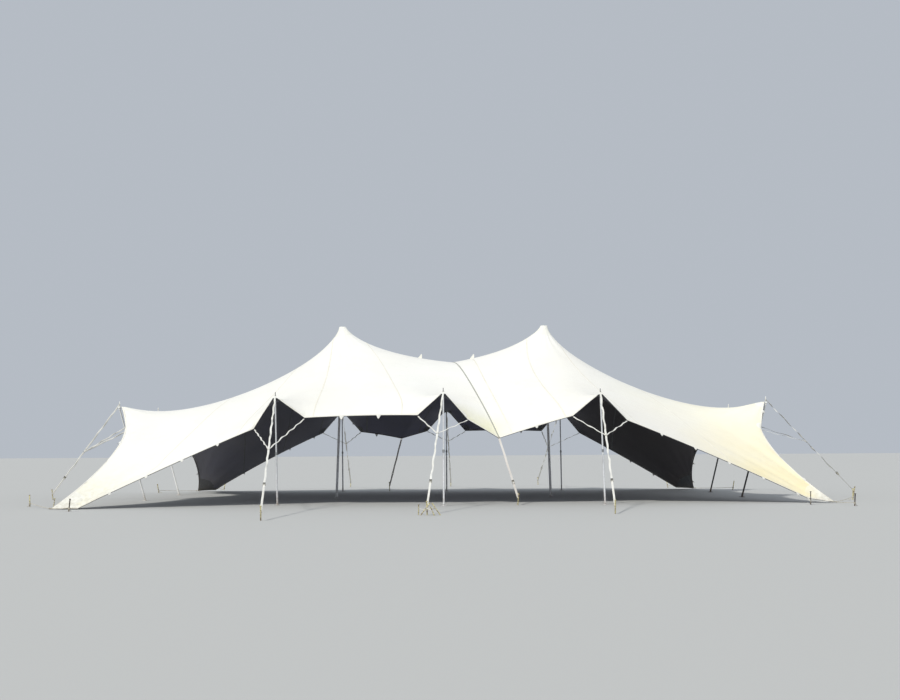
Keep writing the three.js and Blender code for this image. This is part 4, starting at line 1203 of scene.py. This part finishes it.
def cloth_patch(column, row, radius, side):
    """A round patch on one face of the cloth, cut off at the cloth's edge. Its map runs round and out."""
    centre, _ = cloth_point(column, row)
    turns = np.arange(PATCH_SPOKES) * 2 * math.pi / PATCH_SPOKES
    low, high = np.zeros_like(turns), np.full_like(turns, MOST_REACH)
    for _ in range(HALVINGS):
        reach = (low + high) / 2
        place, _ = cloth_point(column + reach * np.cos(turns), row + reach * np.sin(turns))
        near = np.linalg.norm(place - centre, axis=-1) < radius
        low, high = np.where(near, reach, low), np.where(near, high, reach)
    for way, at, last in ((np.cos(turns), column, NET_COLUMNS), (np.sin(turns), row, NET_ROWS)):
        room = np.where(way > 0, last - at, at) / np.maximum(np.abs(way), 1e-6)
        low = np.minimum(low, room)
    reach = PATCH_SHARES * low
    place, normal = cloth_point(column + reach * np.cos(turns), row + reach * np.sin(turns))
    if side < 0:
        place, normal = place - normal * CLOTH_THICKNESS, -normal
    rise = np.where(PATCH_SHARES < 0.99, PATCH_RISE, 0.0006)[..., None]
    rings = place + normal * rise
    under = place[-1] - normal[-1] * 0.002
    points = np.concatenate([rings[0, :1], *rings[1:], under, under.mean(axis=0)[None]])
    last = len(points) - 1
    around = [(e, (e + 1) % PATCH_SPOKES) for e in range(PATCH_SPOKES)]
    faces = [(0, 1 + e, 1 + f) for e, f in around]
    for k in range(len(rings) - 1):
        here, there = 1 + k * PATCH_SPOKES, 1 + (k + 1) * PATCH_SPOKES
        faces += [(here + e, there + e, there + f, here + f) for e, f in around]
    faces += [(last, last - PATCH_SPOKES + f, last - PATCH_SPOKES + e) for e, f in around]
    round_map = np.stack(np.broadcast_arrays(turns * radius, PATCH_SHARES * radius), axis=-1)
    flat = np.concatenate([round_map[0, :1], *round_map[1:], round_map[-1], round_map[0, :1]])
    return points, [face[::side] for face in faces], flat, 0


patch_cream = tape_material(
    "patch_cream", (0.86, 0.85, 0.79), (0.81, 0.79, 0.71), (0.9, 0.89, 0.84), PATCH_STITCHES, soil=0.12
)
patch_grey = tape_material(
    "patch_grey", (0.09, 0.092, 0.1), (0.12, 0.12, 0.12), (0.3, 0.3, 0.29), PATCH_STITCHES, splashed=0.2
)
# The patch on the front right corner gets the same painted shade as the cloth there, least at its tip
tree, shader = patch_cream.node_tree, patch_cream.node_tree.nodes["Principled BSDF"]
unshaded_colour = shader.inputs["Base Color"].links[0].from_socket
way = apart(tree, places_on(tree)[0])
at_right = maths(tree, "GREATER_THAN", way["X"], 9.0)
painted_corner_shade = maths(tree, "MULTIPLY", ranged(tree, way["X"], 10.35, 9.8, to_high=0.85), at_right)
painted_corner_shade = maths(tree, "MULTIPLY", painted_corner_shade, maths(tree, "LESS_THAN", way["Y"], -4.0))
feed(tree, shader, {"Base Color": blended(tree, painted_corner_shade, unshaded_colour, (0.86, 0.77, 0.5))})

patch_places = [(column, PEAK_ROW, PEAK_PATCH) for column in PEAKS]
for column, row, _, _ in CORNERS.values():
    patch_places.append((abs(column - CORNER_PATCH_IN), abs(row - CORNER_PATCH_IN), CORNER_PATCH))
for name, side, index, *_ in EDGE_POLES:
    patch_places.append((*net_place(side, index, POLE_PATCH_IN), POLE_PATCH))
    for cell in BRIDLE_HOLDS[name][0]:
        patch_places.append((*net_place(side, index + cell, BRIDLE_PATCH_IN), BRIDLE_PATCH))
for label, side, finish in (("outside", 1, patch_cream), ("inside", -1, patch_grey)):
    make_piece("patches_" + label, [cloth_patch(*place, side) for place in patch_places], [finish], sharp=50)

# Hem tabs. A small tab of webbing, folded to a point over a ring, is sewn to the hem about every metre,
# so that the cloth can be tied down or joined to another one. On a level stretch of hem it hangs out
# full length, and on a slanting one the hem's roll takes it up.
TAB_STEP, TAB_FIRST, TAB_LOWEST, TAB_CLEAR = 1.0125, 0.55, 0.25, 0.3
# Width and reach of a tab, and how steep a hem takes it up
TAB_HANGING, TAB_TAKEN_UP, STEEP_HEM = (0.13, 0.1), (0.1, 0.05), 0.16
TAB_TIP = 0.022
hem_run = np.append(0, np.cumsum(np.linalg.norm(np.roll(hem_points, -1, axis=0) - hem_points, axis=1)))
held_hem = [*hem_rings, *SADDLE_LOWS.values(), *POLE_HEADS.values()]
held_hem += [tip for _, _, tip, _ in CORNERS.values()]
parts = []
for distance in np.arange(TAB_FIRST, hem_run[-1], TAB_STEP):
    k = int(np.searchsorted(hem_run, distance)) - 1
    share = (distance - hem_run[k]) / (hem_run[k + 1] - hem_run[k])
    middle = hem_middle[k] * (1 - share) + hem_middle[(k + 1) % len(hem_points)] * share
    if middle[2] < TAB_LOWEST or min(math.dist(middle, held) for held in held_hem) < TAB_CLEAR:
        continue
    along, over, out = hem_along[k], hem_over[k], -hem_inward[k]
    width, reach = TAB_HANGING if abs(along[2]) < STEEP_HEM else TAB_TAKEN_UP
    lip = middle + out * 0.02 + over * 0.002
    hang = unit(out - 0.9 * UP)
    tip = lip + hang * reach
    outward = np.cross(along, hang)
    outward = outward if np.dot(outward, over) > 0 else -outward
    path = [
        middle - out * 0.034 + over * 0.0075, middle - out * 0.01 + over * 0.0095,
        middle + out * 0.012 + over * 0.0095, lip, lip * 0.4 + tip * 0.6, tip,
    ]
    ways = [over, over, over + 0.3 * out, over + outward, outward, outward]
    parts.append(strap_run(path, ways, [width, width, width, width * 0.9, width * 0.5, TAB_TIP], WEBBING))
    parts.append(ring_of(tip + hang * 0.01, along, 0.013, 0.0026, ZINC, sides=8, steps=18))
make_piece("hem_tabs", parts, [webbing_white, zinc], sharp=45)

# Ridge tabs. Two gussets of doubled cloth stand on the ridge, one at each side of the saddle, as places to
# hoist the middle of the cloth from.
RIDGE_TABS = [(49.67, 26.67), (55.33, 27.67)]
parts = []
for column, row in RIDGE_TABS:
    foot, _ = cloth_point(column, row)
    beside, _ = cloth_point(column + 0.3, row)
    slope = (beside[2] - foot[2]) / (beside[0] - foot[0])
    outline = [
        (-0.11, -0.11 * slope - 0.004), (0.035, 0.035 * slope - 0.004), (0.038, 0.05), (0.034, 0.118),
        (0.018, 0.138), (0.0, 0.128), (-0.03, 0.082), (-0.075, 0.03),
    ]
    parts.append(plate_part(outline, (foot + np.array((0, 0.006, 0)), (1, 0, 0), UP, (0, -1, 0)), 0.012))
    ring_at = foot + np.array((0.012, 0.0, 0.09))
    parts.append(ring_of(ring_at, (0, 1, 0), 0.011, 0.0045, ZINC, sides=8, steps=20))
make_piece("ridge_tabs", parts, [patch_cream, zinc], sharp=40)

# Corner ties. Each corner of the cloth ends in a steel ring, held by a folded strap. Two ropes, laid of three
# strands, run from the ring to a stake each and are hitched round it.
ROPE, KNOT_ROPE, STRANDS, ROPE_PITCH, ROPE_STEP, STRAND_SHARE = 0.0068, 0.0055, 3, 0.055, 0.007, 0.52
HITCH_HEIGHT, HITCH_TURNS, HITCH_RISE = 0.097, 2.6, -0.0145
# The corner's strap, from the cloth out to the ring: how far out and how far over the cloth's middle
CORNER_FOLD = [(-0.16, 0.009), (-0.05, 0.01), (-0.006, 0.01), (0.01, 0.007), (0.0155, 0.001)]
# A rope's spare end, from its hitch: how far away from the stake and how high
ROPE_TAIL = [(0.03, 0.045), (0.06, 0.022), (0.085, 0.01), (0.12, 0.0095)]


def laid_rope(path, beside, radius=ROPE):
    """Three strands laid round each other along a path, from a way that is never along it."""
    path = np.asarray(path, float)
    run = np.append(0, np.cumsum(np.linalg.norm(np.diff(path, axis=0), axis=1)))
    places = np.linspace(0, run[-1], max(int(run[-1] / ROPE_STEP), 6))
    path = np.stack([np.interp(places, run, path[:, k]) for k in range(3)], axis=1)
    along = unit(np.gradient(path, axis=0))
    first = unit(np.cross(along, beside))
    second = np.cross(along, first)
    round_strand = np.arange(7) * 2 * math.pi / 7
    profile = np.stack([np.cos(round_strand), np.sin(round_strand)], axis=1) * radius * STRAND_SHARE
    parts = []
    for strand in range(STRANDS):
        turn = 2 * math.pi * (places / ROPE_PITCH + strand / STRANDS)
        way = np.cos(turn)[:, None] * first + np.sin(turn)[:, None] * second
        parts.append(swept(path + way * radius * STRAND_SHARE, profile, first, second))
    return parts


def wound(centre, axis, start_way, radius, turns, rise):
    """Points of a rope wound round an axis, from the side that a way points to."""
    axis, first = unit(axis), unit(start_way)
    second = np.cross(axis, first)
    share = np.linspace(0, turns, int(turns * 16) + 1)
    angle = share * 2 * math.pi
    out = np.cos(angle)[:, None] * first + np.sin(angle)[:, None] * second
    return centre + out * radius + share[:, None] * axis * rise


rope_white, tree, shader = new_material("rope_white", (0.72, 0.69, 0.6), 0.8)
place, on_map = places_on(tree)
colour = blended(tree, speckle(tree, place, 5, 0.3, 0.75), (0.74, 0.71, 0.63), (0.58, 0.54, 0.44))
colour = blended(tree, dirt_on(tree, 0.25, 0.5)[0], colour, (0.3, 0.25, 0.17))
twill = {"Vector": on_map, "Scale": 260.0, "Distortion": 2.0, "Detail": 2.0}
yarns = add_node(tree, "ShaderNodeTexWave", twill, bands_direction="DIAGONAL").outputs["Fac"]
feed(tree, shader, {"Base Color": colour, "Normal": bump(tree, yarns, 0.5, 0.0006)})

for name, (column, row, tip, _) in CORNERS.items():
    tip = np.array(tip) - UP * CLOTH_THICKNESS / 2
    inner, _ = cloth_point(abs(column - 1.0), abs(row - 1.0))
    out = unit((tip - inner) * (1, 1, 0))
    ring_at = tip + out * 0.034
    parts = [ring_of(ring_at, UP, 0.022, 0.0045, ZINC)]
    for over in (-UP, UP):
        fold = [tip + out * beyond + over * above for beyond, above in CORNER_FOLD]
        parts.append(strap_run(fold, np.repeat(over[None], len(fold), axis=0), 0.044))
    for k in (1, 2):
        anchor, lean = stakes[f"{name}_corner_stake_{k}"]
        eye = on_stake(anchor, lean, HITCH_HEIGHT)
        way = unit(eye - ring_at)
        from_stake = unit(np.cross(lean, way))
        hitch = wound(eye, lean, from_stake, STAKE + ROPE, HITCH_TURNS, HITCH_RISE)
        if np.dot(hitch[1] - hitch[0], way) <= 0:
            hitch = wound(eye, lean, -from_stake, STAKE + ROPE, HITCH_TURNS, HITCH_RISE)
        start = ring_at + way * 0.03
        shares = np.linspace(0, 1, 12)[:-1, None]
        taut = start * (1 - shares) + hitch[0] * shares - UP * np.sin(math.pi * shares) * 0.012
        away = unit((hitch[-1] - eye) * (1, 1, 0))
        tail = [hitch[-1] + away * beyond for beyond, _ in ROPE_TAIL]
        for point, (_, height) in zip(tail, ROPE_TAIL):
            point[2] = height
        parts += laid_rope([*taut, *hitch[:3]], UP + 0.2 * np.cross(UP, out))
        parts += laid_rope(hitch, lean)
        parts += laid_rope([hitch[-1], *tail], np.cross(unit(tail[-1] - hitch[-1]), lean))
        _, over = side_ways(way)
        parts += laid_rope(wound(ring_at + way * 0.036, way, over, 0.0125, 3.2, 0.0135), way, KNOT_ROPE)
        eye_at = ring_at + way * 0.022
        parts.append(ring_of(eye_at, over, 0.017, 0.0062, stretch=(0.62, 1.0), sides=8, steps=20))
    tie = make_piece(name + "_ropes", parts, [rope_white, zinc], sharp=60)
    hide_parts(name + "_corner_tie")

# Saddle strap. Grey webbing lies over the cloth from hem to hem between the two centre poles and presses the
# saddle down. At each hem a ring joins it to a wider, paler strap with a ratchet, which goes to a stake.
SADDLE_STRAP, SADDLE_TAIL, SADDLE_RATCHET, SADDLE_RATCHET_SHARE = 0.04, 0.055, 0.066, 0.7
# How far the strap lies over the cloth, and how much further at the hem, which it has to clear
SADDLE_RISE, SADDLE_HEM_RISE, SADDLE_HEM_ROWS = 0.004, 0.009, 0.35
# The webbing's grey is partly its own colour and partly painted shade on the narrow strap
webbing_grey = tape_material(
    "webbing_grey", (0.42, 0.42, 0.37), (0.33, 0.33, 0.29), (0.5, 0.5, 0.44), (0.005, 0.035), soil=0.5
)
webbing_pale = tape_material(
    "webbing_pale", (0.8, 0.76, 0.72), (0.68, 0.63, 0.57), (0.86, 0.84, 0.8), (0.006, 0.049), soil=0.4
)
saddle_finishes = [webbing_grey, webbing_pale, zinc, rubber]
GREY, PALE, SADDLE_ZINC, _ = range(len(saddle_finishes))
line, across, over = along_column(SADDLE_COLUMN, SADDLE_STRAP / 2, 1)
rows_in = np.minimum(lines_y, NET_ROWS - lines_y)
line = line + over * (SADDLE_RISE + SADDLE_HEM_RISE * np.exp(-((rows_in / SADDLE_HEM_ROWS) ** 2)))[:, None]
parts = [swept(line, strap_profile(SADDLE_STRAP), across, over, which=GREY)]
for name, end, out_y in (("front", 0, -1.0), ("rear", -1, 1.0)):
    anchor, lean = stakes[name + "_saddle_stake"]
    outward = np.array((0.0, out_y, 0.0))
    lip = line[end] + outward * 0.012 - UP * 0.004
    eye = on_stake(anchor, lean, SLING_HEIGHT)
    joint = lip + outward * 0.03 - UP * 0.016
    way = unit(eye - joint)
    bend = [
        line[end] - outward * 0.02 + over[end] * 0.001, line[end] + outward * 0.006,
        lip + outward * 0.008, joint - way * 0.018,
    ]
    parts.append(strap_run(bend, [over[end], over[end], over[end] + outward, outward], SADDLE_STRAP, GREY))
    face = outward - way * np.dot(outward, way)
    parts.append(ring_of(joint, face, 0.026, 0.0045, SADDLE_ZINC))
    face = unit(face)
    ratchet = joint + (eye - joint) * SADDLE_RATCHET_SHARE
    first, last = joint + way * 0.024, ratchet + way * 0.012
    parts += twisted_strap(first, last, SADDLE_TAIL, face, 0, 200 + end, PALE, flutter=0.004, twist=0.25)
    parts += [(*part[:3], part[3] + PALE) for part in ratchet_parts(ratchet, way, face, SADDLE_RATCHET)]
    first, last = ratchet + way * RATCHET_SPOOL, eye - way * 0.02
    parts += twisted_strap(first, last, SADDLE_TAIL, face, 0, 210 + end, PALE, flutter=0.001, twist=0.1)
    parts.append(ring_of(eye, lean, SLING_RADIUS, 0.0055, SADDLE_ZINC))
saddle = make_piece("saddle_webbing", parts, saddle_finishes, sharp=45)
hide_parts("saddle_strap")

# Spare stakes. More bars are driven in where the ground is soft: two crossed ones and an upright beside the
# middle guy at the front, and one at each front corner. All have slings wound round them, and all but the one
# at the left corner are held to their neighbours by short slings.
SPARE_STAKE, SPARE_SLING = 0.012, 0.032
# The dark bare steel finish is painted shade
spare_finishes = [stake_steel, webbing_white, shade_dark_steel]
PAINTED, SLING, SHADE_DARK = range(len(spare_finishes))
# Foot, lean, length, finish, and where slings are wound round it, as shares of its length
SPARE_STAKES = [
    ((-0.55, -9.22), (0.0, 0.1, 1.0), 0.24, PAINTED, (0.55, 0.62)),
    ((-0.5, -9.42), (0.75, 0.1, 1.0), 0.36, PAINTED, (0.55, 0.62)),
    ((-0.04, -9.4), (-0.7, 0.05, 1.0), 0.34, PAINTED, (0.55, 0.62)),
    ((-0.18, -9.5), (-0.45, 0.0, 1.0), 0.22, PAINTED, (0.55, 0.62)),
    ((9.68, -5.85), (0.02, -0.05, 1.0), 0.35, SHADE_DARK, (0.2, 0.27, 0.34)),
    ((-10.74, -4.62), (0.15, -0.1, 1.0), 0.24, PAINTED, (0.55, 0.62)),
]
bars, slings, tied = [], [], []
for k, (anchor, lean, length, finish, shares) in enumerate(SPARE_STAKES):
    lean = unit(lean)
    bars.append(stake_part(anchor, lean, 90 + k, SPARE_STAKE, length, finish))
    tied.append(on_stake(anchor, lean, 0.58 * length))
    for share in shares:
        sling_at = on_stake(anchor, lean, share * length)
        slings.append(ring_of(sling_at, lean, 0.0165, 0.0042, SLING, sides=8, steps=20))
guy_foot = on_stake(*stakes["front_middle_stake"], 0.12)
corner_low = np.array((*SPARE_STAKES[4][0], 0.09))
corner_hem = cloth_point(99.0, 0.0)[0] - UP * 0.01
corner_tip = np.array(CORNERS["front_right"][2]) + np.array((0.05, -0.02, 0.02))
for start, end in (
    (tied[0], guy_foot), (tied[1], tied[2]), (tied[2], guy_foot), (tied[3], tied[1]),
    (corner_low, corner_hem), (corner_low, corner_tip),
):
    way = unit(end - start)
    first, last, facing = start + way * 0.018, end - way * 0.018, UP + 0.3 * np.array((0, -1, 0))
    slings += twisted_strap(first, last, SPARE_SLING, facing, 0, 220 + len(slings), SLING, 0.004, 0.6)
make_piece("spare_stakes", bars + slings, spare_finishes, sharp=50)
